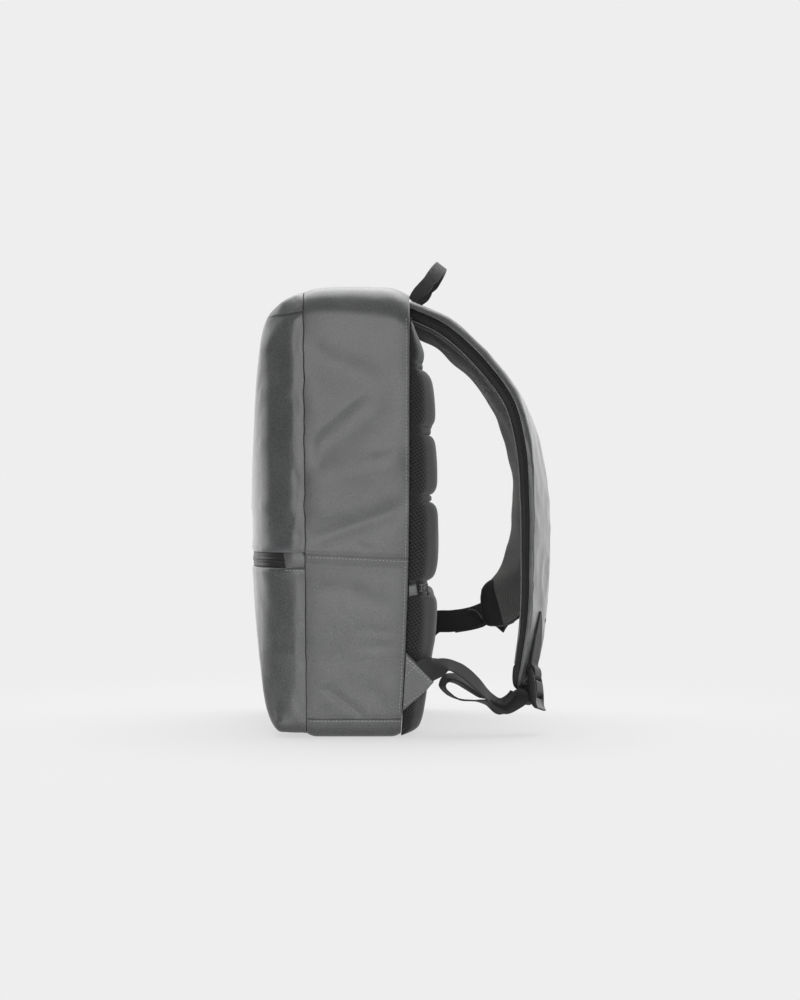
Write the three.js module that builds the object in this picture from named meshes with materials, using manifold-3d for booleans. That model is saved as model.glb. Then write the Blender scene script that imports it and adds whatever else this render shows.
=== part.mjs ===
// Laptop backpack standing on its base. Millimetres, X across, Y from front to back, Z up.
import * as THREE from "three";
import { mergeVertices } from "three/addons/utils/BufferGeometryUtils.js";
import Module from "manifold-3d";

const wasm = await Module();
wasm.setup();

// Body seams: the outline that the front panel and the gusset share.
const BODY = { half: 148, bottom: 3, top: 449, topRadius: 38, bottomRadius: 14 };
const WALL = 5;
const SEAM_GAP = 0.4;
const SEAM_FRONT_BOTTOM = -47.5;
const SEAM_FRONT_TOP = -51;
const REAR_EDGE_TOP = 55.5;
const REAR_TUCK = 9;
const REAR_TUCK_HEIGHT = 260;

// The gusset swells a little between its seams, and the base is flat between its edges.
const CROWN_TOP = 6;
const CROWN_SIDE = 2;
const CROWN_BASE = 3;
const GUSSET_ROWS = [
  { share: 0, top: 0, side: 0, base: 0 },
  { share: 0.03, top: 0.35, side: 0.3, base: 1 },
  { share: 0.2, top: 0.9, side: 0.85, base: 1 },
  { share: 0.5, top: 1, side: 1, base: 1 },
  { share: 0.82, top: 0.95, side: 0.85, base: 1 },
  { share: 0.97, top: 0.2, side: 0.3, base: 1 },
  { share: 1, top: 0, side: 0, base: 0 },
];
const POCKET_SEAM_Z = 181.5;
const POCKET_SEAM_TILT = -2.6;
const BASE_SEAM_Z = 19;

// Front panel: one row for each depth, with how far in its contour lies from the seam outline.
const FRONT_ROWS = [
  { depth: 0, side: 0, top: 0, bottom: 0, topRadius: 38, bottomRadius: 14 },
  { depth: 11, side: 0.6, top: 5, bottom: 0.6, topRadius: 37, bottomRadius: 13 },
  { depth: 20, side: 3, top: 9.5, bottom: 1.5, topRadius: 36, bottomRadius: 12 },
  { depth: 30, side: 8, top: 17, bottom: 3.5, topRadius: 35, bottomRadius: 12 },
  { depth: 39, side: 15, top: 28, bottom: 16, topRadius: 34, bottomRadius: 16 },
  { depth: 46, side: 26, top: 44, bottom: 41, topRadius: 33, bottomRadius: 24 },
  { depth: 52, side: 42, top: 87, bottom: 82, topRadius: 32, bottomRadius: 30 },
  { depth: 56.5, side: 66, top: 130, bottom: 122, topRadius: 30, bottomRadius: 30 },
  { depth: 60, side: 100, top: 175, bottom: 165, topRadius: 22, bottomRadius: 22 },
];
const FRONT_DEPTH = 62;
const FRONT_MIDDLE_Z = 232;

// Front zip: a band across the lower third with a fabric garage over each end.
const ZIP_BOTTOM_Z = 170.5;
const ZIP_TOP_Z = 184.5;
const ZIP_RECESS = 1.2;
const ZIP_TAPE = 2;
const GARAGE_THICKNESS = 3;
const GARAGE_END_Y = -71;

// Moulded back cushion: height of the padding above the rear edge, from the top down.
const CUSHION_HALF = 141;
const CUSHION_TOP = 422;
const CUSHION_BOTTOM = 1;
const CUSHION_TOP_RADIUS = 30;
const CUSHION_BOTTOM_RADIUS = 14;
const CUSHION_WALL = 6;
const CUSHION_DIP = 3;
const CUSHION_MOUTH = 6;
const CUSHION_UPPER_ROWS = [
  { z: 422, rise: 2 },
  { z: 412, rise: 6 },
  { z: 396, rise: 12 },
  { z: 388, rise: 14 },
  { z: 380, rise: 10.5 },
  { z: 374, rise: 11.5 },
  { z: 365, rise: 19 },
  { z: 354, rise: 23.5 },
  { z: 330, rise: 25.8 },
  { z: 319, rise: 25 },
  { z: 313, rise: 21 },
  { z: 303, rise: 21 },
  { z: 298, rise: 25 },
  { z: 284, rise: 27.2 },
  { z: 258, rise: 28 },
  { z: 249, rise: 26.4 },
  { z: 244, rise: 22.2 },
  { z: 237, rise: 22.2 },
  { z: 232, rise: 26 },
  { z: 222, rise: 28.8 },
  { z: 197, rise: 29.6 },
  { z: 176, rise: 29.8 },
  { z: 164, rise: 27.4 },
  { z: 157, rise: 24 },
];
const CUSHION_LOWER_ROWS = [
  { z: 142, rise: 25.5 },
  { z: 137, rise: 29.2 },
  { z: 116, rise: 30.2 },
  { z: 96, rise: 29.6 },
  { z: 80, rise: 27.3 },
  { z: 45, rise: 24.2 },
  { z: 24, rise: 22.2 },
  { z: 9, rise: 18 },
  { z: 3, rise: 11 },
  { z: 1, rise: 4 },
];
const CUSHION_PROFILE = [
  { inset: 0, share: 0 },
  { inset: 0, share: 0.3 },
  { inset: 4, share: 0.6 },
  { inset: 13, share: 0.86 },
  { inset: 30, share: 1 },
];
const BACK_ZIP_ROWS = [
  { z: 156.5, rise: 19 },
  { z: 142.5, rise: 19 },
];

// Shoulder straps: stations from the root at the back panel down to the buckle end.
const STRAP_CROWN = 1.2;
const COVER_THICKNESS = 1.3;
const STRAP_UPPER_ROWS = [
  { x: 52, y: 59.8, z: 436, roll: 3, width: 62, thick: 9 },
  { x: 54, y: 93, z: 418, roll: 8, width: 66, thick: 11 },
  { x: 58, y: 134.5, z: 378, roll: 11, width: 68, thick: 11.5 },
  { x: 64, y: 163, z: 339, roll: 13, width: 68, thick: 11.5 },
  { x: 70, y: 178.5, z: 297, roll: 14, width: 66, thick: 11.5 },
  { x: 77, y: 186.5, z: 240, roll: 14, width: 64, thick: 11 },
];
const STRAP_RIGHT_ROWS = [
  { x: 85, y: 187.5, z: 180, roll: 14, width: 60, thick: 11 },
  { x: 94, y: 184.5, z: 120, roll: 14, width: 54, thick: 10 },
  { x: 101, y: 176.5, z: 78, roll: 14, width: 46, thick: 9 },
  { x: 104, y: 169, z: 52, roll: 13, width: 36, thick: 7 },
];
const STRAP_LEFT_ROWS = [
  { x: 83, y: 183, z: 186, roll: 22, width: 60, thick: 11 },
  { x: 90, y: 170, z: 148, roll: 38, width: 56, thick: 10 },
  { x: 94, y: 155, z: 126, roll: 54, width: 50, thick: 9 },
  { x: 96, y: 143.5, z: 117, roll: 58, width: 42, thick: 7 },
];
const STRAP_STEPS = 26;

// Ladder-lock buckles and the webbing loop that holds each of them on its strap.
const WEB_WIDTH = 25;
const WEB_THICKNESS = 1.6;
const LOOP_ROWS = [
  { at: -0.14, lift: 0 },
  { at: -0.08, lift: 0 },
  { at: -0.03, lift: 0.6 },
  { at: 0, lift: 1.8 },
];
const LOOP_END = { right: 0.92, left: 0.9 };
const LOCK_WIDTH = 33;
const LOCK_LENGTH = 42;
const LOCK_THICKNESS = 4.5;
const LOCK_SLOT_WIDTH = 27;
const LOCK_CORNER = 4;
const LOCK_SLOTS = [
  { low: -16.6, high: 1 },
  { low: 5, high: 16.4 },
];
const LOCK_TILT = { right: 20, left: 22 };
const LOCK_PATH = [
  { up: -4, out: -17 },
  { up: 3, out: -9 },
  { up: 8, out: -4.4 },
  { up: 10, out: 0 },
  { up: 7.6, out: 4.2 },
  { up: 3, out: 5.2 },
  { up: -2, out: 4 },
  { up: -5.4, out: 0 },
  { up: -9, out: -4.4 },
  { up: -14, out: -10 },
];

// Anchor tabs on the rear edges of the side panels, and the webbing from them to the buckles.
const TAB_THICKNESS = 2.8;
const TAB_X = 144.8;
const TAB_TOP_Z = 86;
const TAB_BOTTOM_Z = 26;
const TAB_TIP = [
  { y: 72, z: 47 },
  { y: 80, z: 56 },
];
const WEB_RIGHT_ROWS = [
  { x: 146.2, y: 72.3, z: 68.8, roll: -90 },
  { x: 146.2, y: 75.4, z: 70.6, roll: -86 },
  { x: 144, y: 84.5, z: 72, roll: -46 },
  { x: 138.5, y: 93.5, z: 73.5, roll: 10 },
  { x: 136.5, y: 106.3, z: 67.3, roll: 27 },
  { x: 135, y: 118.4, z: 58.6, roll: 25 },
  { x: 132.5, y: 128.6, z: 48.4, roll: 16 },
  { x: 130, y: 136.8, z: 39.6, roll: 8 },
  { x: 127, y: 145.1, z: 36, roll: 5 },
  { x: 121, y: 154.4, z: 37.5, roll: 12 },
  { x: 115, y: 163.8, z: 40, roll: 14 },
];
const TAIL_RIGHT_ROWS = [
  { x: 116, y: 162.9, z: 29.5, roll: 26 },
  { x: 121, y: 145.3, z: 27.6, roll: 22 },
  { x: 122, y: 135.2, z: 32, roll: 10 },
  { x: 122, y: 122, z: 34.5, roll: 4 },
  { x: 122, y: 106.8, z: 35.8, roll: 3 },
  { x: 122, y: 95.7, z: 41.3, roll: 10 },
  { x: 122, y: 89, z: 49.4, roll: 14 },
  { x: 122, y: 92.6, z: 57, roll: 14 },
  { x: 122, y: 101.8, z: 59, roll: 10 },
  { x: 121, y: 110.9, z: 54.5, roll: 6 },
  { x: 121, y: 121, z: 46.4, roll: 5 },
  { x: 121, y: 128.1, z: 41.3, roll: 5 },
];
const WEB_LEFT_ROWS = [
  { x: -146.2, y: 72.3, z: 68.8, roll: 90 },
  { x: -146.2, y: 75.2, z: 72, roll: 90 },
  { x: -145, y: 77.5, z: 85, roll: 88 },
  { x: -139, y: 86, z: 96.5, roll: 80 },
  { x: -128, y: 104, z: 100, roll: 78 },
  { x: -118, y: 121, z: 103.5, roll: 74 },
];
const TAIL_LEFT_ROWS = [
  { x: -108, y: 118, z: 100, roll: 40 },
  { x: -112, y: 104, z: 97, roll: 60 },
];
const WEB_STEPS_PER_ROW = 3;

// Carry handle: a tape arch leaning back from the top rear edge.
const HANDLE_ROOT = { y: 59.2, z: 446.5 };
const HANDLE_LEAN = 38;
const HANDLE_THICKNESS = 3;
const HANDLE_ROWS = [
  { x: 48, rise: 0, width: 9 },
  { x: 48, rise: 8, width: 12 },
  { x: 45.5, rise: 24, width: 14 },
  { x: 38, rise: 37, width: 13 },
  { x: 22, rise: 47, width: 12 },
  { x: 0, rise: 51, width: 12 },
];

const GREY = { color: 0x75777a, roughness: 0.55, metalness: 0 };
const BLACK_MESH = { color: 0x2b2c2e, roughness: 0.9, metalness: 0 };
const BLACK_TAPE = { color: 0x2c2d2f, roughness: 0.75, metalness: 0 };
const BLACK_PLASTIC = { color: 0x1d1e20, roughness: 0.4, metalness: 0 };
const DARK_METAL = { color: 0x4a4b4d, roughness: 0.35, metalness: 0.9 };

const backpack = new THREE.Group();

function addMesh(name, geometry, look) {
  const mesh = new THREE.Mesh(geometry, new THREE.MeshStandardMaterial(look));
  mesh.name = name;
  backpack.add(mesh);
  return mesh;
}

// Closed surface from points and triangles, turned so that it faces out.
function closedGeometry(points, faces) {
  let volume = 0;
  const normal = new THREE.Vector3();
  for (const [a, b, c] of faces) {
    normal.crossVectors(points[b], points[c]);
    volume += points[a].dot(normal);
  }
  const turned = volume > 0 ? faces : faces.map(([a, b, c]) => [a, c, b]);
  const geometry = new THREE.BufferGeometry();
  const values = points.flatMap((point) => [point.x, point.y, point.z]);
  geometry.setAttribute("position", new THREE.Float32BufferAttribute(values, 3));
  geometry.setIndex(turned.flat());
  geometry.computeVertexNormals();
  return geometry;
}

// Skin through closed rings, joined end to start or closed by a cap at each end.
function loft(rings, joined = false) {
  const count = rings[0].length;
  const points = rings.flat();
  const faces = [];
  const spans = joined ? rings.length : rings.length - 1;
  for (let r = 0; r < spans; r += 1) {
    const here = r * count;
    const next = ((r + 1) % rings.length) * count;
    for (let i = 0; i < count; i += 1) {
      const j = (i + 1) % count;
      faces.push([here + i, here + j, next + j]);
      faces.push([here + i, next + j, next + i]);
    }
  }
  if (!joined) {
    for (const end of [0, rings.length - 1]) {
      const middle = new THREE.Vector3();
      for (const point of rings[end]) {
        middle.addScaledVector(point, 1 / count);
      }
      points.push(middle);
      for (let i = 0; i < count; i += 1) {
        const j = (i + 1) % count;
        const edge = [end * count + i, end * count + j];
        const side = end === 0 ? edge.reverse() : edge;
        faces.push([...side, points.length - 1]);
      }
    }
  }
  return closedGeometry(points, faces);
}

function solidOf(geometry) {
  const bare = geometry.clone();
  bare.deleteAttribute("normal");
  bare.deleteAttribute("uv");
  const merged = mergeVertices(bare, 1e-4);
  const vertProperties = new Float32Array(merged.attributes.position.array);
  const triVerts = new Uint32Array(merged.index.array);
  return new wasm.Manifold(new wasm.Mesh({ numProp: 3, vertProperties, triVerts }));
}

function geometryOf(solid) {
  const mesh = solid.getMesh();
  const geometry = new THREE.BufferGeometry();
  geometry.setAttribute("position", new THREE.Float32BufferAttribute(mesh.vertProperties, 3));
  geometry.setIndex(Array.from(mesh.triVerts));
  geometry.computeVertexNormals();
  return geometry;
}

const REACH = 600;

// Box between two corners, tilted about the X axis where a seam isn't level.
function block(low, high, tilt = 0) {
  const size = high.map((value, axis) => value - low[axis]);
  const geometry = new THREE.BoxGeometry(...size);
  geometry.translate(0, 0, size[2] / 2);
  geometry.rotateX(THREE.MathUtils.degToRad(tilt));
  geometry.translate((low[0] + high[0]) / 2, (low[1] + high[1]) / 2, low[2]);
  return solidOf(geometry);
}

function above(z, tilt = 0) {
  return block([-REACH, -REACH, z], [REACH, REACH, z + REACH], tilt);
}

const seamY = (z) => {
  const share = z / BODY.top;
  return SEAM_FRONT_BOTTOM + (SEAM_FRONT_TOP - SEAM_FRONT_BOTTOM) * share;
};

const rearY = (z) => {
  const low = Math.max(0, 1 - z / REAR_TUCK_HEIGHT);
  return REAR_EDGE_TOP - REAR_TUCK * low * low;
};

const CORNER_STEPS = 6;
const SIDE_STEPS = 5;
const ENDS_STEPS = 4;

// Rounded rectangle in the XZ plane, with the same number of points for every size.
function outline({ half, bottom, top, topRadius, bottomRadius }) {
  const corners = [
    { x: half - bottomRadius, z: bottom + bottomRadius, radius: bottomRadius, start: -90 },
    { x: half - topRadius, z: top - topRadius, radius: topRadius, start: 0 },
    { x: topRadius - half, z: top - topRadius, radius: topRadius, start: 90 },
    { x: bottomRadius - half, z: bottom + bottomRadius, radius: bottomRadius, start: 180 },
  ];
  const arcs = corners.map(({ x, z, radius, start }) => {
    const arc = new THREE.EllipseCurve(
      x,
      z,
      radius,
      radius,
      THREE.MathUtils.degToRad(start),
      THREE.MathUtils.degToRad(start + 90),
    );
    return arc.getPoints(CORNER_STEPS);
  });
  const points = [];
  arcs.forEach((arc, index) => {
    points.push(...arc);
    const steps = index % 2 === 0 ? SIDE_STEPS : ENDS_STEPS;
    const from = arc[CORNER_STEPS];
    const to = arcs[(index + 1) % arcs.length][0];
    for (let i = 1; i < steps; i += 1) {
      points.push(from.clone().lerp(to, i / steps));
    }
  });
  return points;
}

function inset(shape, distance) {
  return {
    half: shape.half - distance,
    bottom: shape.bottom + distance,
    top: shape.top - distance,
    topRadius: shape.topRadius - distance,
    bottomRadius: shape.bottomRadius - distance,
  };
}

// Gusset, side panels and base are cut from one strip that runs right round the body.
function gussetRing(row, depth) {
  const shape = inset(
    {
      half: BODY.half + row.side * CROWN_SIDE,
      bottom: BODY.bottom - row.base * CROWN_BASE,
      top: BODY.top + row.top * CROWN_TOP,
      topRadius: BODY.topRadius,
      bottomRadius: BODY.bottomRadius,
    },
    depth,
  );
  return outline(shape).map((point) => {
    const front = seamY(point.y);
    const y = front + row.share * (rearY(point.y) - front);
    return new THREE.Vector3(point.x, y, point.y);
  });
}

const outerRings = GUSSET_ROWS.map((row) => gussetRing(row, 0));
const innerRings = GUSSET_ROWS.map((row) => gussetRing(row, WALL)).reverse();
const strip = solidOf(loft([...outerRings, ...innerRings], true));
const pocketTop = POCKET_SEAM_Z - SEAM_GAP / 2;
const gusset = strip.intersect(above(POCKET_SEAM_Z + SEAM_GAP / 2, POCKET_SEAM_TILT));
const sides = strip
  .intersect(above(BASE_SEAM_Z + SEAM_GAP / 2))
  .subtract(above(pocketTop, POCKET_SEAM_TILT));
const rightHalf = block([0, -REACH, -REACH], [REACH, REACH, REACH]);
addMesh("gusset_upper", geometryOf(gusset), GREY);
addMesh("side_pocket_right", geometryOf(sides.intersect(rightHalf)), GREY);
addMesh("side_pocket_left", geometryOf(sides.subtract(rightHalf)), GREY);
const base = strip.subtract(above(BASE_SEAM_Z - SEAM_GAP / 2));
addMesh("base_panel", geometryOf(base), GREY);

// Front panel skin: contour rings and a middle point, with the outward direction at each point.
const frontRings = FRONT_ROWS.map((row) => {
  const shape = {
    half: BODY.half - row.side,
    bottom: BODY.bottom + row.bottom,
    top: BODY.top - row.top,
    topRadius: row.topRadius,
    bottomRadius: row.bottomRadius,
  };
  return outline(shape).map(
    (point) => new THREE.Vector3(point.x, seamY(point.y) - SEAM_GAP - row.depth, point.y),
  );
});
const frontMiddle = new THREE.Vector3(
  0,
  seamY(FRONT_MIDDLE_Z) - SEAM_GAP - FRONT_DEPTH,
  FRONT_MIDDLE_Z,
);

function outwardAt(rings, r, i) {
  const count = rings[r].length;
  const along = rings[r][(i + 1) % count].clone().sub(rings[r][(i + count - 1) % count]);
  const before = rings[Math.max(r - 1, 0)][i];
  const after = rings[Math.min(r + 1, rings.length - 1)][i];
  return along.cross(after.clone().sub(before)).normalize();
}

// The front skin moved inwards by a distance, from the seam ring to the middle.
function frontLayer(distance) {
  const rings = frontRings.map((ring, r) =>
    ring.map((point, i) => {
      const outward = outwardAt(frontRings, r, i);
      if (r === 0) {
        outward.setY(0).normalize();
      }
      return point.clone().addScaledVector(outward, -distance);
    }),
  );
  return { rings, middle: frontMiddle.clone().setY(frontMiddle.y + distance) };
}

function frontShell(outer, inner) {
  const skin = frontLayer(outer);
  const back = frontLayer(inner);
  const rings = [...skin.rings.reverse(), ...back.rings];
  const count = rings[0].length;
  const points = [...rings.flat(), skin.middle, back.middle];
  const faces = [];
  for (let r = 0; r < rings.length - 1; r += 1) {
    for (let i = 0; i < count; i += 1) {
      const j = (i + 1) % count;
      const here = r * count;
      const next = here + count;
      faces.push([here + i, here + j, next + j]);
      faces.push([here + i, next + j, next + i]);
    }
  }
  const end = (rings.length - 1) * count;
  for (let i = 0; i < count; i += 1) {
    const j = (i + 1) % count;
    faces.push([j, i, points.length - 2]);
    faces.push([end + i, end + j, points.length - 1]);
  }
  return solidOf(closedGeometry(points, faces));
}

const frontSkin = frontShell(0, WALL);
const frontUpper = frontSkin.intersect(above(ZIP_TOP_Z + SEAM_GAP));
const frontLower = frontSkin.subtract(above(ZIP_BOTTOM_Z - SEAM_GAP));
addMesh("front_panel_upper", geometryOf(frontUpper), GREY);
addMesh("front_panel_lower", geometryOf(frontLower), GREY);

const zipSlab = above(ZIP_BOTTOM_Z).subtract(above(ZIP_TOP_Z));
const behindZip = block([-REACH, GARAGE_END_Y, -REACH], [REACH, REACH, REACH]);
const zipFace = frontShell(ZIP_RECESS, ZIP_RECESS + ZIP_TAPE).intersect(zipSlab);
const frontZip = zipFace.subtract(
  block([-REACH, GARAGE_END_Y - SEAM_GAP, -REACH], [REACH, REACH, REACH]),
);
const frontTape = addMesh("front_zip_tape", geometryOf(frontZip), BLACK_TAPE);
const garages = frontShell(0, GARAGE_THICKNESS).intersect(zipSlab).intersect(behindZip);
addMesh("front_zip_garage_right", geometryOf(garages.intersect(rightHalf)), GREY);
addMesh("front_zip_garage_left", geometryOf(garages.subtract(rightHalf)), GREY);

// Back panel: the flat board that closes the rear of the body.
const BOARD_THICKNESS = 4;
const boardShape = inset(BODY, WALL + SEAM_GAP);

function halfWidthAt(shape, z) {
  const fromTop = Math.max(0, z - (shape.top - shape.topRadius));
  const fromBottom = Math.max(0, shape.bottom + shape.bottomRadius - z);
  const radius = fromTop > 0 ? shape.topRadius : shape.bottomRadius;
  const rise = Math.max(fromTop, fromBottom);
  return shape.half - radius + Math.sqrt(Math.max(0, radius * radius - rise * rise));
}

const BOARD_ROWS = [8.6, 9.5, 12, 17, 60, 110, 160, 210, 260, 410, 425, 435, 441, 443.4];
const boardRings = BOARD_ROWS.map((z) => {
  const half = halfWidthAt(boardShape, z);
  const rear = rearY(z);
  return [
    new THREE.Vector3(-half, rear - BOARD_THICKNESS, z),
    new THREE.Vector3(half, rear - BOARD_THICKNESS, z),
    new THREE.Vector3(half, rear, z),
    new THREE.Vector3(-half, rear, z),
  ];
});
addMesh("back_panel", loft(boardRings), BLACK_TAPE);

// Padding profile across the back at one height, standing on the board.
const cushionShape = {
  half: CUSHION_HALF,
  bottom: CUSHION_BOTTOM - 2,
  top: CUSHION_TOP + 2,
  topRadius: CUSHION_TOP_RADIUS,
  bottomRadius: CUSHION_BOTTOM_RADIUS,
};

function cushionRing({ z, rise }, shrink, foot) {
  const half = halfWidthAt(cushionShape, z) - shrink;
  const y = rearY(z) + SEAM_GAP;
  const right = CUSHION_PROFILE.map(({ inset: from, share }) => {
    const height = share === 0 ? -foot : share * (rise - shrink);
    return { x: half - from, height };
  });
  const middle = { x: 0, height: rise - shrink - CUSHION_DIP };
  const left = right.map(({ x, height }) => ({ x: -x, height })).reverse();
  return [...right, middle, ...left].map(
    ({ x, height }) => new THREE.Vector3(x, y + height, z),
  );
}

function cushion(rows) {
  const whole = solidOf(loft(rows.map((row) => cushionRing(row, 0, 0))));
  const thick = rows.filter(({ rise }) => rise > CUSHION_WALL + 5);
  const last = thick.length - 1;
  const hollow = thick.map((row, index) => {
    const end = (index === 0 ? -CUSHION_WALL : 0) + (index === last ? CUSHION_WALL : 0);
    return cushionRing({ z: row.z + end, rise: row.rise }, CUSHION_WALL, CUSHION_MOUTH);
  });
  return geometryOf(whole.subtract(solidOf(loft(hollow))));
}

addMesh("back_cushion_upper", cushion(CUSHION_UPPER_ROWS), BLACK_MESH);
addMesh("back_cushion_lower", cushion(CUSHION_LOWER_ROWS), BLACK_MESH);

// Back pocket zip in the channel between the two cushions, with a garage at each end.
const tapeFace = solidOf(loft(BACK_ZIP_ROWS.map((row) => cushionRing(row, 0, 0))));
const tapeBack = BACK_ZIP_ROWS.map((row, index) => {
  const z = row.z + (index === 0 ? 1 : -1);
  return cushionRing({ z, rise: row.rise }, ZIP_TAPE, ZIP_TAPE);
});
const backZip = tapeFace.subtract(solidOf(loft(tapeBack)));
const backTape = addMesh("back_zip_tape", geometryOf(backZip), BLACK_TAPE);

const toSide = new THREE.Matrix4().makeBasis(
  new THREE.Vector3(0, 1, 0),
  new THREE.Vector3(0, 0, 1),
  new THREE.Vector3(1, 0, 0),
);

// Flat piece cut in the YZ plane, with its inner face at x.
function sidePlate(corners, x, thickness) {
  const shape = new THREE.Shape(corners.map(({ y, z }) => new THREE.Vector2(y, z)));
  const plate = new THREE.ExtrudeGeometry(shape, { depth: thickness, bevelEnabled: false });
  plate.applyMatrix4(toSide);
  plate.translate(x, 0, 0);
  return plate;
}

const BACK_GARAGE = [
  { y: 54.8, z: 141 },
  { y: 64, z: 142.5 },
  { y: 62, z: 154.5 },
  { y: 54.8, z: 153 },
];
const BACK_GARAGE_THICKNESS = 1.6;
const garageX = CUSHION_HALF + SEAM_GAP;
const rightGarage = sidePlate(BACK_GARAGE, garageX, BACK_GARAGE_THICKNESS);
const leftGarage = sidePlate(
  BACK_GARAGE,
  -garageX - BACK_GARAGE_THICKNESS,
  BACK_GARAGE_THICKNESS,
);
addMesh("back_zip_garage_right", rightGarage, GREY);
addMesh("back_zip_garage_left", leftGarage, GREY);

// Zip slider seated on its tape: a small body, with a pull along the tape where there is room.
const SLIDER = { length: 11, width: 8, height: 3.4 };
const PULL = { width: 5, height: 1.4 };
const SLIDER_LIFT = 0.3;

function slider(name, tape, from, towards, pullLength) {
  backpack.updateMatrixWorld(true);
  const ray = new THREE.Raycaster(from, towards.clone().sub(from).normalize());
  const hit = ray.intersectObject(tape)[0];
  const out = hit.face.normal.clone();
  const up = new THREE.Vector3(0, 0, 1);
  const along = up.clone().cross(out).normalize();
  const body = new THREE.BoxGeometry(SLIDER.length, SLIDER.width, SLIDER.height);
  body.translate(0, 0, SLIDER.height / 2 + SLIDER_LIFT);
  const pull = new THREE.BoxGeometry(pullLength, PULL.width, PULL.height);
  pull.translate(pullLength / 2 - 2, 0, SLIDER.height + SLIDER_LIFT + 0.5);
  const mesh = addMesh(name, geometryOf(solidOf(body).add(solidOf(pull))), DARK_METAL);
  const turn = new THREE.Matrix4().makeBasis(along, out.clone().cross(along), out);
  mesh.quaternion.setFromRotationMatrix(turn);
  mesh.position.copy(hit.point);
}

const frontZipZ = (ZIP_BOTTOM_Z + ZIP_TOP_Z) / 2;
slider(
  "front_zip_slider",
  frontTape,
  new THREE.Vector3(-190, -180, frontZipZ),
  new THREE.Vector3(-100, -90, frontZipZ),
  24,
);
const backZipZ = (BACK_ZIP_ROWS[0].z + BACK_ZIP_ROWS[1].z) / 2;
slider(
  "back_zip_slider",
  backTape,
  new THREE.Vector3(200, 130, backZipZ),
  new THREE.Vector3(130, 64, backZipZ),
  6,
);

// Stations along a table of rows, with the other columns carried between the rows.
function stations(rows, steps) {
  const points = rows.map(({ x, y, z }) => new THREE.Vector3(x, y, z));
  const curve = new THREE.CatmullRomCurve3(points, false, "centripetal");
  const result = [];
  for (let i = 0; i <= steps; i += 1) {
    result.push(station(rows, curve, i / steps));
  }
  return result;
}

function station(rows, curve, t) {
  const along = t * (rows.length - 1);
  const index = Math.min(Math.floor(along), rows.length - 2);
  const mix = along - index;
  const between = (key) => THREE.MathUtils.lerp(rows[index][key], rows[index + 1][key], mix);
  const tangent = curve.getTangent(t);
  return {
    point: curve.getPoint(t),
    tangent,
    across: rolled(tangent, between("roll")),
    width: between("width"),
    thick: between("thick"),
  };
}

// Width direction of a strap: level across the bag, then rolled about the strap's own run.
function rolled(tangent, roll) {
  const across = new THREE.Vector3(1, 0, 0);
  across.addScaledVector(tangent, -across.dot(tangent)).normalize();
  return across.applyAxisAngle(tangent, THREE.MathUtils.degToRad(roll));
}

function placed({ point, tangent, across }, pairs) {
  const out = across.clone().cross(tangent);
  return pairs.map(([a, b]) =>
    point.clone().addScaledVector(across, a).addScaledVector(out, b),
  );
}

const STRAP_FACE = [
  { a: -0.45, share: 0.4, crown: 0 },
  { a: -0.24, share: 0.5, crown: 0.7 },
  { a: 0, share: 0.5, crown: 1 },
  { a: 0.24, share: 0.5, crown: 0.7 },
  { a: 0.45, share: 0.4, crown: 0 },
];

function faceAt(face, { width, thick }, lift) {
  return [face.a * width, face.share * thick + face.crown * STRAP_CROWN + lift];
}

function strapPad(row) {
  const { width, thick } = row;
  const face = STRAP_FACE.map((point) => faceAt(point, row, 0));
  const rest = [
    [0.5 * width, 0.12 * thick],
    [0.5 * width, -0.2 * thick],
    [0.45 * width, -0.5 * thick],
    [-0.45 * width, -0.5 * thick],
    [-0.5 * width, -0.2 * thick],
    [-0.5 * width, 0.12 * thick],
  ];
  return placed(row, [...face, ...rest]);
}

function strapCover(row) {
  const low = STRAP_FACE.map((point) => faceAt(point, row, SEAM_GAP));
  const high = STRAP_FACE.map((point) => faceAt(point, row, SEAM_GAP + COVER_THICKNESS));
  return placed(row, [...low, ...high.reverse()]);
}

function webSection(row) {
  const a = row.width / 2;
  const b = row.thick / 2;
  return placed(row, [
    [-a, -b],
    [a, -b],
    [a, b],
    [-a, b],
  ]);
}

// Ribbon through points that each have a width direction of their own.
function ribbon(rows, steps) {
  const curve = new THREE.CatmullRomCurve3(
    rows.map(({ point }) => point),
    false,
    "centripetal",
  );
  const rings = [];
  for (let i = 0; i <= steps; i += 1) {
    const along = (i / steps) * (rows.length - 1);
    const index = Math.min(Math.floor(along), rows.length - 2);
    const mix = along - index;
    const tangent = curve.getTangent(i / steps);
    const across = rows[index].across.clone().lerp(rows[index + 1].across, mix);
    across.addScaledVector(tangent, -across.dot(tangent)).normalize();
    rings.push(
      webSection({
        point: curve.getPoint(i / steps),
        tangent,
        across,
        width: THREE.MathUtils.lerp(rows[index].width, rows[index + 1].width, mix),
        thick: rows[index].thick,
      }),
    );
  }
  return loft(rings);
}

// Rows of a webbing table with the width direction worked out at each of them.
function webRows(table) {
  const points = table.map(({ x, y, z }) => new THREE.Vector3(x, y, z));
  const curve = new THREE.CatmullRomCurve3(points, false, "centripetal");
  return table.map(({ roll }, index) => ({
    point: points[index],
    across: rolled(curve.getTangent(index / (table.length - 1)), roll),
    width: WEB_WIDTH,
    thick: WEB_THICKNESS,
  }));
}

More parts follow.
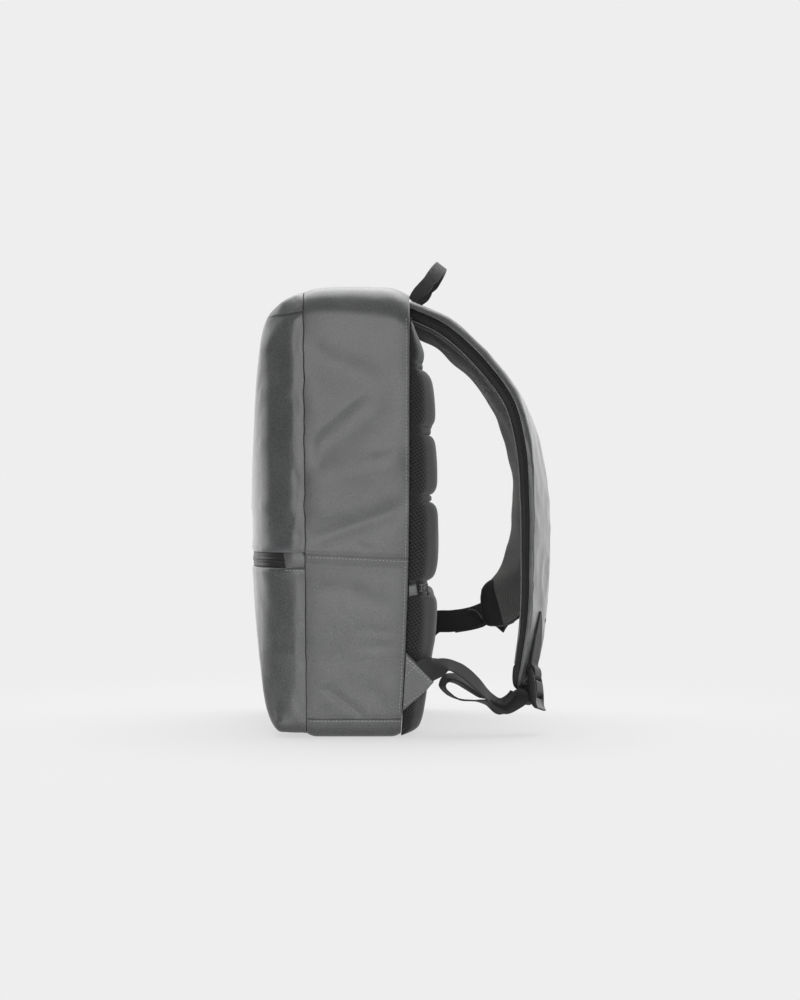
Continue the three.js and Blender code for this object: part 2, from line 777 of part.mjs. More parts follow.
function lockGeometry() {
  const shape = new THREE.Shape();
  const a = LOCK_WIDTH / 2;
  const b = LOCK_LENGTH / 2;
  shape.moveTo(-a + LOCK_CORNER, -b);
  shape.lineTo(a - LOCK_CORNER, -b);
  shape.quadraticCurveTo(a, -b, a, -b + LOCK_CORNER);
  shape.lineTo(a, b - LOCK_CORNER);
  shape.quadraticCurveTo(a, b, a - LOCK_CORNER, b);
  shape.lineTo(-a + LOCK_CORNER, b);
  shape.quadraticCurveTo(-a, b, -a, b - LOCK_CORNER);
  shape.lineTo(-a, -b + LOCK_CORNER);
  shape.quadraticCurveTo(-a, -b, -a + LOCK_CORNER, -b);
  for (const { low, high } of LOCK_SLOTS) {
    const half = LOCK_SLOT_WIDTH / 2;
    const slot = new THREE.Path();
    slot.moveTo(-half, low);
    slot.lineTo(-half, high);
    slot.lineTo(half, high);
    slot.lineTo(half, low);
    shape.holes.push(slot);
  }
  const options = { depth: LOCK_THICKNESS, bevelEnabled: false, curveSegments: 4 };
  const plate = new THREE.ExtrudeGeometry(shape, options);
  plate.translate(0, 0, -LOCK_THICKNESS / 2);
  return plate;
}

const LOCK_FROM_LOOP = 0.9;

function shoulder(side, rows, webTable, tailTable) {
  const sign = side === "right" ? 1 : -1;
  const table = [...STRAP_UPPER_ROWS, ...rows].map((row) => ({
    ...row,
    x: sign * row.x,
    roll: sign * row.roll,
  }));
  const line = stations(table, STRAP_STEPS);
  addMesh(`shoulder_pad_${side}`, loft(line.map(strapPad)), BLACK_MESH);
  addMesh(`shoulder_cover_${side}`, loft(line.map(strapCover)), GREY);

  const curve = new THREE.CatmullRomCurve3(
    table.map(({ x, y, z }) => new THREE.Vector3(x, y, z)),
    false,
    "centripetal",
  );
  const stack = STRAP_CROWN + COVER_THICKNESS + 2 * SEAM_GAP + WEB_THICKNESS / 2;
  const loopRows = LOOP_ROWS.map(({ at, lift }) => {
    const here = station(table, curve, LOOP_END[side] + at);
    const out = here.across.clone().cross(here.tangent);
    return {
      point: here.point.clone().addScaledVector(out, here.thick / 2 + stack + lift),
      across: here.across,
      width: WEB_WIDTH,
      thick: WEB_THICKNESS,
    };
  });
  addMesh(`buckle_loop_${side}`, ribbon(loopRows, 9), BLACK_TAPE);

  const end = station(table, curve, LOOP_END[side]);
  const across = end.across.clone();
  const up = end.tangent.clone().negate();
  up.applyAxisAngle(across, THREE.MathUtils.degToRad(LOCK_TILT[side]));
  const out = across.clone().cross(up.clone().negate());
  const centre = loopRows[loopRows.length - 1].point.clone();
  centre.addScaledVector(up, -LOCK_LENGTH / 2 - LOCK_FROM_LOOP);
  const lock = addMesh(`ladder_lock_${side}`, lockGeometry(), BLACK_PLASTIC);
  const turn = new THREE.Matrix4().makeBasis(across, up, out.clone().negate());
  lock.quaternion.setFromRotationMatrix(turn);
  lock.position.copy(centre);

  const through = LOCK_PATH.map((step) => ({
    point: centre.clone().addScaledVector(up, step.up).addScaledVector(out, step.out),
    across,
    width: WEB_WIDTH,
    thick: WEB_THICKNESS,
  }));
  const web = [...webRows(webTable), ...through, ...webRows(tailTable)];
  const steps = (web.length - 1) * WEB_STEPS_PER_ROW;
  addMesh(`webbing_${side}`, ribbon(web, steps), BLACK_TAPE);
}

shoulder("right", STRAP_RIGHT_ROWS, WEB_RIGHT_ROWS, TAIL_RIGHT_ROWS);
shoulder("left", STRAP_LEFT_ROWS, WEB_LEFT_ROWS, TAIL_LEFT_ROWS);

// Anchor tabs: folded fabric triangles behind the rear edge of each side panel.
const tabMiddleZ = (TAB_TOP_Z + TAB_BOTTOM_Z) / 2;
const tabCorners = [
  { y: rearY(TAB_BOTTOM_Z) + SEAM_GAP, z: TAB_BOTTOM_Z },
  ...TAB_TIP,
  { y: rearY(TAB_TOP_Z) + SEAM_GAP, z: TAB_TOP_Z },
  { y: rearY(tabMiddleZ) + SEAM_GAP, z: tabMiddleZ },
];
addMesh("anchor_tab_right", sidePlate(tabCorners, TAB_X, TAB_THICKNESS), GREY);
addMesh("anchor_tab_left", sidePlate(tabCorners, -TAB_X - TAB_THICKNESS, TAB_THICKNESS), GREY);

// Carry handle.
const lean = THREE.MathUtils.degToRad(HANDLE_LEAN);
const rising = new THREE.Vector3(0, Math.sin(lean), Math.cos(lean));
const handleAcross = new THREE.Vector3(0, Math.cos(lean), -Math.sin(lean));
const farHalf = HANDLE_ROWS.slice(0, -1).reverse();
const handleTable = [...HANDLE_ROWS, ...farHalf.map((row) => ({ ...row, x: -row.x }))];
const handleRows = handleTable.map(({ x, rise, width }) => ({
  point: new THREE.Vector3(x, HANDLE_ROOT.y, HANDLE_ROOT.z).addScaledVector(rising, rise),
  across: handleAcross,
  width,
  thick: HANDLE_THICKNESS,
}));
addMesh("carry_handle", ribbon(handleRows, 24), BLACK_TAPE);

export default backpack;
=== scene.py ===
import math

import bpy
from mathutils import Matrix, Vector, noise


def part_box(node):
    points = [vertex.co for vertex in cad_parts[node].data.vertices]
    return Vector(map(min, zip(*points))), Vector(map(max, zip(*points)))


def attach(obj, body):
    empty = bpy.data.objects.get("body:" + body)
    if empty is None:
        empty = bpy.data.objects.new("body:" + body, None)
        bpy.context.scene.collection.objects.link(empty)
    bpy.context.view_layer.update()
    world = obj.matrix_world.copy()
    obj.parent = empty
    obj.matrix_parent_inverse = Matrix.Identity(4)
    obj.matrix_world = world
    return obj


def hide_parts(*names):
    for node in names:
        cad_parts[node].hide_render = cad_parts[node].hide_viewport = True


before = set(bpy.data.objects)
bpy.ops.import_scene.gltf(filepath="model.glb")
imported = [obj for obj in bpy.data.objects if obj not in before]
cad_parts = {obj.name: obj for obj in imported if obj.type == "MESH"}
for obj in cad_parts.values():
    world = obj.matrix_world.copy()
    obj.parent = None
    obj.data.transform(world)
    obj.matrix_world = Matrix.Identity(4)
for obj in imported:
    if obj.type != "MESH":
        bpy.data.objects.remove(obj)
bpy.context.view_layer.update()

# Photo stage: a pale studio floor under a white backdrop that glows from behind the bag, with a large
# soft lamp by the camera, one overhead, and a white card laid on the floor before the bag. The camera
# stands level with the middle of the bag's right side.
MM = 0.001
PALE = 0.855
FLOOR_SIZE = 30
FLOOR_DROP = 0.0003

scene = bpy.context.scene
scene.view_settings.view_transform = "Standard"


def join(tree, kind, links=None, **settings):
    """A node of that kind, with its settings, whose inputs take a value or another node's socket."""
    node = tree.nodes.new(kind)
    for name, value in settings.items():
        setattr(node, name, value)
    for socket, value in (links or {}).items():
        if isinstance(value, bpy.types.NodeSocket):
            tree.links.new(value, node.inputs[socket])
        else:
            node.inputs[socket].default_value = value
    return node


def calc(tree, operation, *values):
    """The output of a Math node."""
    return join(tree, "ShaderNodeMath", dict(enumerate(values)), operation=operation).outputs[0]


def ramp(tree, factor, *stops):
    """The output of a Color Ramp with grey stops, each a place and a brightness."""
    node = join(tree, "ShaderNodeValToRGB", {"Fac": factor})
    while len(node.color_ramp.elements) < len(stops):
        node.color_ramp.elements.new(0.5)
    for element, (place, grey) in zip(node.color_ramp.elements, stops):
        element.position = place
        element.color = (grey, grey, grey, 1)
    return node.outputs[0]


def faded(tree, value, start, end, low, high):
    """A value that goes smoothly from low to high while another goes from start to end."""
    links = {"Value": value, "From Min": start, "From Max": end, "To Min": low, "To Max": high}
    return join(tree, "ShaderNodeMapRange", links, interpolation_type="SMOOTHSTEP").outputs[0]


studio = bpy.data.worlds.new("studio")
scene.world = studio
studio.use_nodes = True
tree = studio.node_tree
tree.nodes.clear()
direction = join(tree, "ShaderNodeTexCoord").outputs["Generated"]
axes = join(tree, "ShaderNodeSeparateXYZ", {0: direction}).outputs
turned = calc(tree, "MULTIPLY_ADD", axes["X"], 0.5, 0.5)
glow = ramp(tree, turned, (0.0, 0.8), (0.3, 1.0), (0.46, 1.0), (0.53, 0.05), (0.9, 0.04), (1.0, 0.05))
ceiling = faded(tree, axes["Z"], 0.25, 0.6, 0, 0.3)
above = calc(tree, "MAXIMUM", glow, ceiling)
around = join(tree, "ShaderNodeBackground", {"Color": above, "Strength": 2.0})
seen = join(tree, "ShaderNodeBackground", {"Color": (PALE, PALE, PALE, 1)})
camera_ray = join(tree, "ShaderNodeLightPath").outputs["Is Camera Ray"]
mixed = join(tree, "ShaderNodeMixShader", {0: camera_ray, 1: around.outputs[0], 2: seen.outputs[0]})
join(tree, "ShaderNodeOutputWorld", {"Surface": mixed.outputs[0]})

bpy.ops.object.select_all(action="DESELECT")
bpy.ops.mesh.primitive_plane_add(size=FLOOR_SIZE, location=(0, 0, -FLOOR_DROP))
bpy.ops.object.transform_apply(location=True, rotation=False, scale=False)
floor = bpy.context.object
floor.name = "studio_floor"
paper = bpy.data.materials.new("pale_paper")
paper.use_nodes = True
tree = paper.node_tree
tree.nodes.clear()
lit = join(tree, "ShaderNodeBsdfDiffuse", {"Color": (0.52, 0.52, 0.52, 1)})
dim = join(tree, "ShaderNodeEmission", {"Color": (1, 1, 1, 1), "Strength": 0.45})
card = join(tree, "ShaderNodeEmission", {"Color": (1, 1, 1, 1), "Strength": 1.7})
glowing = join(tree, "ShaderNodeEmission", {"Color": (PALE, PALE, PALE, 1)})
spot = join(tree, "ShaderNodeTexCoord").outputs["Object"]
reach = join(tree, "ShaderNodeVectorMath", {0: spot}, operation="LENGTH").outputs["Value"]
far = faded(tree, reach, 0.1, 0.75, 0.7, 1)
axes = join(tree, "ShaderNodeSeparateXYZ", {0: spot}).outputs
ahead = faded(tree, axes["X"], 0.13, 0.2, 0, 1)
aside = faded(tree, calc(tree, "ABSOLUTE", axes["Y"]), 0.2, 0.5, 1, 0)
carded = calc(tree, "MULTIPLY", ahead, aside)
behind = faded(tree, axes["X"], -0.6, -0.2, 1, 0)
brighter = calc(tree, "MAXIMUM", carded, behind)
bounce = join(tree, "ShaderNodeMixShader", {0: brighter, 1: dim.outputs[0], 2: card.outputs[0]})
sheet = join(tree, "ShaderNodeMixShader", {0: far, 1: lit.outputs[0], 2: glowing.outputs[0]})
camera_ray = join(tree, "ShaderNodeLightPath").outputs["Is Camera Ray"]
shown = join(tree, "ShaderNodeMixShader", {0: camera_ray, 1: bounce.outputs[0], 2: sheet.outputs[0]})
join(tree, "ShaderNodeOutputMaterial", {"Surface": shown.outputs[0]})
floor.data.materials.append(paper)


def soft_lamp(name, place, aim, size, power):
    lamp = bpy.data.lights.new(name, "AREA")
    lamp.shape = "DISK"
    lamp.size = size
    lamp.energy = power
    holder = bpy.data.objects.new(name, lamp)
    holder.location = place
    holder.rotation_euler = (Vector(aim) - Vector(place)).to_track_quat("-Z", "Y").to_euler()
    scene.collection.objects.link(holder)


soft_lamp("lamp_by_camera", (3.0, 0.0, 0.35), (0, 0, 0.24), 2.2, 47)
soft_lamp("lamp_overhead", (-0.75, 0.0, 2.3), (-0.1, 0, 0.3), 2.4, 42)
soft_lamp("lamp_over_front", (-0.9, -2.6, 1.9), (0, 0, 0.24), 1.6, 9)
soft_lamp("lamp_over_back", (-0.7, 2.8, 1.8), (0, 0, 0.24), 1.6, 9)

CAMERA_PLACE = (2.2, 0.046, 0.238)
FOCAL_PIXELS = 2050
PHOTO_HEIGHT = 1000
lens = bpy.data.cameras.new("photo_camera")
lens.sensor_width = 36
lens.lens = FOCAL_PIXELS * lens.sensor_width / PHOTO_HEIGHT
camera = bpy.data.objects.new("photo_camera", lens)
camera.location = CAMERA_PLACE
camera.rotation_euler = (math.radians(90), 0, math.radians(90))
scene.collection.objects.link(camera)
scene.camera = camera

# Upper gusset: one padded strip of coated cloth that runs from the right side seam up over the top
# and down to the left one. Its long edges are turned in at the front seam and folded at the rear.
BODY = {"half": 148, "bottom": 3, "top": 449, "top_radius": 28, "bottom_radius": 14}
POCKET_SEAM_Z = 181.5
POCKET_SEAM_SLOPE = -0.0454
CROWN_SIDE = 2
FRONT_SEAM = {"y": -47.5, "lean": 3.5, "waver": 1.3, "waver_length": 16}
REAR_EDGE = {"y": 55.5, "tuck": 9, "tuck_below": 260}
CLOTH_WALL = 2.2


def table(columns, *rows):
    """The rows of a table, each with its values under the names of the columns."""
    return [dict(zip(columns.split(), row)) for row in rows]


GUSSET_CROWN = table(
    "share top",
    (0, -0.6), (0.03, 0.8), (0.09, 2.7), (0.22, 4.6), (0.4, 5.4), (0.65, 5.4), (0.83, 4.6),
    (0.92, 1.6), (1, -2.6),
)
SIDE_FOLDS = table(
    "from to width height drop",
    ((-32, 303), (8, 335), 12, 0, -1.9),
    ((-42, 301), (8, 346), 5, 0.5, 0),
    ((22, 287), (48, 296), 6, -0.6, 0),
    ((-44, 203), (50, 236), 6.5, 0, -1.5),
    ((-40, 211), (4, 226), 2.6, -0.3, 0),
    ((4, 193), (15, 187.5), 2.4, -0.7, 0),
    ((-44, 258), (44, 276), 14, 0.9, 0),
    ((-44, 394), (10, 374), 15, 0, -1.8),
    ((-4, 147), (30, 133), 8, -0.7, 0),
    ((-46, 140), (-20, 150), 8, -0.6, 0),
    ((2, 108), (44, 106), 4.5, -0.45, 0),
    ((8, 90), (46, 92), 5, -0.5, 0),
    ((-27, 49), (6, 24), 2.8, -1.7, 0),
    ((20, 46), (34, 26), 8, -1.1, 0),
    ((-46, 24), (-28, 26), 6, -0.8, 0),
)


def seam_y(z):
    """Front seam at a height: it leans forward a little, and wavers as sewn cloth does."""
    waver = FRONT_SEAM["waver"] * noise.noise(Vector((0, 0, z / FRONT_SEAM["waver_length"])))
    return FRONT_SEAM["y"] - FRONT_SEAM["lean"] * z / BODY["top"] + waver


def rear_y(z):
    """Rear edge at a height: it is tucked in towards the base."""
    return REAR_EDGE["y"] - REAR_EDGE["tuck"] * max(0, 1 - z / REAR_EDGE["tuck_below"]) ** 2


def strip_y(share, z):
    """A place between the front seam and the rear edge."""
    return seam_y(z) + share * (rear_y(z) - seam_y(z))


def between(rows, key, by, value):
    """A column of a table at a value of another column, on a smooth curve through the rows."""
    places = [row[by] for row in rows]
    index = max(0, min(len(rows) - 2, sum(place <= value for place in places) - 1))
    picks = [rows[max(0, min(len(rows) - 1, index + step))] for step in (-1, 0, 1, 2)]
    x0, x1, x2, x3 = (row[by] for row in picks)
    y0, y1, y2, y3 = (row[key] for row in picks)
    mix = (value - x1) / (x2 - x1)
    slope_in = (y2 - y0) / (x2 - x0) * (x2 - x1)
    slope_out = (y3 - y1) / (x3 - x1) * (x2 - x1)
    a = 2 * y1 - 2 * y2 + slope_in + slope_out
    b = -3 * y1 + 3 * y2 - 2 * slope_in - slope_out
    return ((a * mix + b) * mix + slope_in) * mix + y1


def edge_roll(distance, radius):
    """How far a turned edge has dropped, at a distance from it."""
    if distance >= radius:
        return 0
    return radius - math.sqrt(max(0, radius ** 2 - (radius - distance) ** 2))


def eased(u):
    """Grid lines that lie close together at both edges of a panel."""
    return u - 0.9 * math.sin(2 * math.pi * u) / (2 * math.pi)


def laid_panel(name, columns, rows, place):
    """A grid with each point where place(u, v) says, in millimetres, and a map of its flat cut."""
    bpy.ops.object.select_all(action="DESELECT")
    bpy.ops.mesh.primitive_grid_add(x_subdivisions=columns, y_subdivisions=rows, size=1)
    panel = bpy.context.object
    panel.name = panel.data.name = name
    points = panel.data.vertices
    columns = len({round(point.co.x, 5) for point in points}) - 1
    rows = len({round(point.co.y, 5) for point in points}) - 1
    spots = [
        (round((point.co.x + 0.5) * columns), round((point.co.y + 0.5) * rows)) for point in points
    ]
    at = {}
    for point, spot in zip(points, spots):
        point.co = Vector(place(spot[0] / columns, spot[1] / rows)) * MM
        at[spot] = point.co.copy()
    widths = [0]
    for column in range(columns):
        steps = [(at[column + 1, row] - at[column, row]).length for row in range(rows + 1)]
        widths.append(widths[-1] + sum(steps) / len(steps))
    lengths = [0]
    for row in range(rows):
        steps = [(at[column, row + 1] - at[column, row]).length for column in range(columns + 1)]
        lengths.append(lengths[-1] + sum(steps) / len(steps))
    cut = panel.data.uv_layers.active.data
    for loop in panel.data.loops:
        column, row = spots[loop.vertex_index]
        cut[loop.index].uv = (widths[column], lengths[row])
    return panel


def picked(*pieces):
    """Selects these pieces alone, with the first one active."""
    bpy.ops.object.select_all(action="DESELECT")
    for piece in pieces:
        piece.select_set(True)
    bpy.context.view_layer.objects.active = pieces[0]


def edit(panel, *steps):
    """Runs edit mode operators, each a function, on all of a piece."""
    picked(panel)
    bpy.ops.object.mode_set(mode="EDIT")
    bpy.ops.mesh.select_all(action="SELECT")
    for step in steps:
        step()
    bpy.ops.object.mode_set(mode="OBJECT")


def turned_out(panel, outward):
    """Turns the faces so that they look the way outward(point) says."""
    way = sum(face.normal.dot(outward(face.center)) * face.area for face in panel.data.polygons)
    if way < 0:
        edit(panel, bpy.ops.mesh.flip_normals)


def pressed(panel, amount):
    """Moves each point along its normal by amount(x, y, z), all in millimetres."""
    moves = [point.normal * amount(*(point.co / MM)) * MM for point in panel.data.vertices]
    for point, move in zip(panel.data.vertices, moves):
        point.co += move


def fold_height(folds, a, b):
    """Height of a table of soft folds, ridges or drops from one level to another, at a point."""
    fall = 2.2
    total = 0
    for fold in folds:
        (a0, b0), (a1, b1) = fold["from"], fold["to"]
        length = math.hypot(a1 - a0, b1 - b0)
        along = ((a - a0) * (a1 - a0) + (b - b0) * (b1 - b0)) / length ** 2
        across = ((a - a0) * (b1 - b0) - (b - b0) * (a1 - a0)) / length
        past = max(0, -along, along - 1) * length / fold["width"]
        reach = across / fold["width"]
        total += fold["height"] * math.exp(-(reach ** 2) - past ** 2)
        fade = math.exp(-((max(0, reach) / fall) ** 2) - (past / fall) ** 2)
        total += fold["drop"] * (1 + math.tanh(reach)) * fade
    return total


def thickened(panel, thickness):
    """Gives a panel its wall, inwards from its face, and smooth shading."""
    wall = panel.modifiers.new("wall", "SOLIDIFY")
    wall.thickness = thickness * MM
    wall.offset = -1
    picked(panel)
    bpy.ops.object.modifier_apply(modifier=wall.name)
    bpy.ops.object.shade_smooth()


def new_group(name, inputs, outputs):
    """An empty shader node group with named sockets, and its two end nodes."""
    group = bpy.data.node_groups.new(name, "ShaderNodeTree")
    for socket, kind in inputs.items():
        group.interface.new_socket(socket, in_out="INPUT", socket_type=f"NodeSocket{kind}")
    for socket, kind in outputs.items():
        group.interface.new_socket(socket, in_out="OUTPUT", socket_type=f"NodeSocket{kind}")
    return group, group.nodes.new("NodeGroupInput").outputs, group.nodes.new("NodeGroupOutput").inputs


def cut_axes(group, given, length):
    """Places along and across the flat cut, where each pitch of the cloth counts as this length."""
    scale = calc(group, "DIVIDE", length, given["Pitch"])
    scaled = join(group, "ShaderNodeVectorMath", {0: given["Cut"], "Scale": scale}, operation="SCALE")
    return join(group, "ShaderNodeSeparateXYZ", {0: scaled.outputs[0]}).outputs


# Plain weave: threads that pass over and under each other on the flat cut, one pitch apart.
weave, given, result = new_group("plain_weave", {"Cut": "Vector", "Pitch": "Float"}, {"Height": "Float"})
warp = cut_axes(weave, given, 1)
cell = calc(weave, "ADD", calc(weave, "FLOOR", warp["X"]), calc(weave, "FLOOR", warp["Y"]))
over = calc(weave, "PINGPONG", cell, 1)
bow_x = calc(weave, "ABSOLUTE", calc(weave, "SINE", calc(weave, "MULTIPLY", warp["X"], math.pi)))
bow_y = calc(weave, "ABSOLUTE", calc(weave, "SINE", calc(weave, "MULTIPLY", warp["Y"], math.pi)))
over_x = calc(weave, "MULTIPLY", bow_x, over)
over_y = calc(weave, "MULTIPLY", bow_y, calc(weave, "SUBTRACT", 1, over))
weave.links.new(calc(weave, "ADD", over_x, over_y), result["Height"])

# Mottle: the faint cloudy and grainy unevenness of dyed cloth, around one.
mottle, given, result = new_group("cloth_mottle", {"Place": "Vector", "Depth": "Float"}, {"Shade": "Float"})
cloud = join(mottle, "ShaderNodeTexNoise", {"Vector": given["Place"], "Scale": 30, "Detail": 3}).outputs[0]
grain = join(mottle, "ShaderNodeTexNoise", {"Vector": given["Place"], "Scale": 1150, "Detail": 1}).outputs[0]
both = calc(mottle, "ADD", calc(mottle, "MULTIPLY", cloud, 0.5), calc(mottle, "MULTIPLY", grain, 1.5))
centred = calc(mottle, "SUBTRACT", both, 1)
mottle.links.new(calc(mottle, "MULTIPLY_ADD", centred, given["Depth"], 1), result["Shade"])


def new_material(name, **shader_values):
    """A material with one Principled shader; plain values go straight on its sockets."""
    material = bpy.data.materials.new(name)
    material.use_nodes = True
    tree = material.node_tree
    tree.nodes.clear()
    shader = join(tree, "ShaderNodeBsdfPrincipled")
    join(tree, "ShaderNodeOutputMaterial", {"Surface": shader.outputs[0]})
    for socket, value in shader_values.items():
        shader.inputs[socket.replace("_", " ")].default_value = value
    return material, tree, shader


def place_of(tree, output):
    return join(tree, "ShaderNodeTexCoord").outputs[output]


def grouped(tree, group, links):
    return join(tree, "ShaderNodeGroup", links, node_tree=group).outputs[0]


def tinted(tree, shader, colour, shade):
    """Base colour times a shade that varies over the surface."""
    product = join(tree, "ShaderNodeVectorMath", {0: colour, 1: shade}, operation="MULTIPLY")
    tree.links.new(product.outputs[0], shader.inputs["Base Color"])


def mottled(tree, depth):
    return grouped(tree, mottle, {"Place": place_of(tree, "Object"), "Depth": depth})


def dyed(tree, shader, colour, depth):
    """Mottled base colour; gives the shade of the mottle for other uses."""
    shade = mottled(tree, depth)
    tinted(tree, shader, colour, shade)
    return shade


def embossed(tree, shader, height, distance, strength):
    bump = join(tree, "ShaderNodeBump", {"Height": height, "Distance": distance, "Strength": strength})
    tree.links.new(bump.outputs[0], shader.inputs["Normal"])


def woven(tree, shader, pitch, distance, strength):
    """Relief of a plain weave on the flat cut."""
    height = grouped(tree, weave, {"Cut": place_of(tree, "UV"), "Pitch": pitch})
    embossed(tree, shader, height, distance, strength)


def coated(name, colour, roughness):
    """Coated cloth: a close satin weave under a thin polymer skin."""
    material, tree, shader = new_material(
        name, Specular_IOR_Level=0.55, Sheen_Weight=0.06, Sheen_Roughness=0.4
    )
    shade = dyed(tree, shader, colour, 1.5)
    woven(tree, shader, 0.0008, 0.0001, 0.22)
    wear = 0.06
    worn = calc(tree, "MULTIPLY_ADD", shade, wear, roughness - wear)
    tree.links.new(worn, shader.inputs["Roughness"])
    return material


COATED_GREY = (0.056, 0.057, 0.0585)
coated_cloth = coated("coated_grey_cloth", COATED_GREY, 0.32)


def sewn(piece, material, slot, *nodes):
    """Gives a finished piece its material and the place of its solids on the bag. The slot is not used."""
    piece.data.materials.clear()
    piece.data.materials.append(material)
    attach(piece, "root")
    if nodes:
        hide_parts(*nodes)


def pocket_seam(y):
    return POCKET_SEAM_Z + POCKET_SEAM_SLOPE * y


GUSSET_WIDTH = 105
FRONT_ROLL = 0.7
REAR_ROLL = 1.0
UNDERLAP = 3
HEM_DRAW = 0.9
DRAW_WIDTH = 1.6
CORNER_REAR = 11


def side_half(share):
    """Half width of the bag between its front seam and its rear edge."""
    return BODY["half"] + CROWN_SIDE * (1 - abs(2 * share - 1) ** 5)


def edge_drop(share):
    """Drop of the side cloth where its front and rear edges turn in."""
    front = edge_roll(share * GUSSET_WIDTH, FRONT_ROLL)
    return front + edge_roll((1 - share) * GUSSET_WIDTH, REAR_ROLL)


def gusset_place(u, v):
    share = eased(u)
    drop = edge_drop(share)
    half = side_half(share) - drop
    top = BODY["top"] + between(GUSSET_CROWN, "top", "share", share) - drop
    radius = BODY["top_radius"] + CORNER_REAR * share
    corner_length = radius * math.pi / 2
    low = pocket_seam(strip_y(share, POCKET_SEAM_Z)) - UNDERLAP
    side_length = top - radius - low
    run = (1 - abs(2 * v - 1)) * (side_length + corner_length + half - radius)
    if run < side_length:
        x, z = half - HEM_DRAW * math.exp(-(((run - UNDERLAP) / DRAW_WIDTH) ** 2)), low + run
    elif run < side_length + corner_length:
        angle = (run - side_length) / radius
        x = half - radius + radius * math.cos(angle)
        z = top - radius + radius * math.sin(angle)
    else:
        x, z = half - radius - (run - side_length - corner_length), top
    return x if v < 0.5 else -x, strip_y(share, z), z


def held(value):
    """A value kept between nought and one."""
    return max(0, min(1, value))


def waves(place, sizes):
    """Smooth noise at a place, whose waves have these sizes along the three axes."""
    return noise.noise(Vector([value / size for value, size in zip(place, sizes)]))


def uneven(place, rise, sizes, fine_rise, fine_size):
    """Slight unevenness of cloth over padding: broad waves with finer ones on them."""
    return rise * waves(place, sizes) + fine_rise * noise.noise(Vector(place) / fine_size)


SIDE_WAVES = {"rise": 0.5, "sizes": (60, 28, 45), "fine_rise": 0.2, "fine_size": 14}
SIDE_FADE = {"front": 16, "rear": 20, "from_x": 125, "over_x": 20}


def side_swell(x, y, z):
    """Soft folds of the side cloth, and the slight unevenness of its padding."""
    wave = uneven((x, y, z), **SIDE_WAVES)
    front = held((y - seam_y(z)) / SIDE_FADE["front"])
    rear = held((rear_y(z) - y) / SIDE_FADE["rear"])
    side = held((abs(x) - SIDE_FADE["from_x"]) / SIDE_FADE["over_x"])
    return min(front, rear) * (wave + side * fold_height(SIDE_FOLDS, y, z))


STRIP_COLUMNS = 56
GUSSET_ROWS = 280
gusset = laid_panel("gusset_upper_cloth", STRIP_COLUMNS, GUSSET_ROWS, gusset_place)
turned_out(gusset, lambda point: point - Vector((0, 0, 0.23)))
pressed(gusset, side_swell)
thickened(gusset, CLOTH_WALL)
sewn(gusset, coated_cloth, "coated_cloth", "gusset_upper")

# Side panels and base: the same cloth below the side seam, with the base turned up at both sides.
# Each upper edge is folded under and topstitched over the panel above it, so it stands a little proud.
BASE_SEAM_Z = 19
HEM_PROUD = 0.9
HEM_ROLL = 0.6
HEM_DEPTH = 9
BASE_CROWN = 3
BASE_SOFT_EDGE = 11
POCKET_GAP = 0.2
POCKET_ROWS = 84
BASE_ROWS = 200
SIDES = (("right", 1), ("left", -1))


def pocket_place(u, v, way):
    share = eased(u)
    high = pocket_seam(strip_y(share, POCKET_SEAM_Z)) - POCKET_GAP
    low = BASE_SEAM_Z - UNDERLAP
    z = low + (high - low) * (1 - (1 - v) ** 2 if v > 0.5 else 1.5 * v)
    hem = HEM_PROUD * max(0, 1 - (high - z) / HEM_DEPTH) - edge_roll(high - z, HEM_ROLL)
    hem -= HEM_DRAW * math.exp(-(((z - BASE_SEAM_Z) / DRAW_WIDTH) ** 2))
    x = side_half(share) - edge_drop(share) + hem
    y = strip_y(share, z)
    return way * (x + side_swell(way * x, y, z)), y, z


for side, way in SIDES:
    pocket = laid_panel(
        f"side_pocket_{side}_cloth", STRIP_COLUMNS, POCKET_ROWS, lambda u, v: pocket_place(u, v, way)
    )
    turned_out(pocket, lambda point: Vector((point.x, 0, 0)))
    thickened(pocket, CLOTH_WALL)
    sewn(pocket, coated_cloth, "coated_cloth", f"side_pocket_{side}")


def base_place(u, v):
    share = eased(u)
    reach = min(share, 1 - share) * GUSSET_WIDTH
    drop = edge_roll(reach, FRONT_ROLL)
    half = side_half(share) - drop
    soft = max(0, 1 - reach / BASE_SOFT_EDGE)
    low = BODY["bottom"] - BASE_CROWN * (1 - soft ** 2) + drop
    radius = BODY["bottom_radius"]
    upturn = BASE_SEAM_Z - low - radius
    arc = radius * math.pi / 2
    run = (1 - abs(2 * v - 1)) * (upturn + arc + half - radius)
    if run < upturn:
        proud = HEM_PROUD * max(0, 1 - run / HEM_DEPTH) - edge_roll(run, HEM_ROLL)
        x, z = half + proud, BASE_SEAM_Z - run
    elif run < upturn + arc:
        angle = (run - upturn) / radius
        x = half - radius + radius * math.cos(angle)
        z = low + radius - radius * math.sin(angle)
    else:
        x, z = half - radius - (run - upturn - arc), low
    return x if v < 0.5 else -x, strip_y(share, z), z


base = laid_panel("base_panel_cloth", STRIP_COLUMNS, BASE_ROWS, base_place)
turned_out(base, lambda point: point - Vector((0, 0, 0.1)))
thickened(base, CLOTH_WALL)
sewn(base, coated_cloth, "coated_cloth", "base_panel")

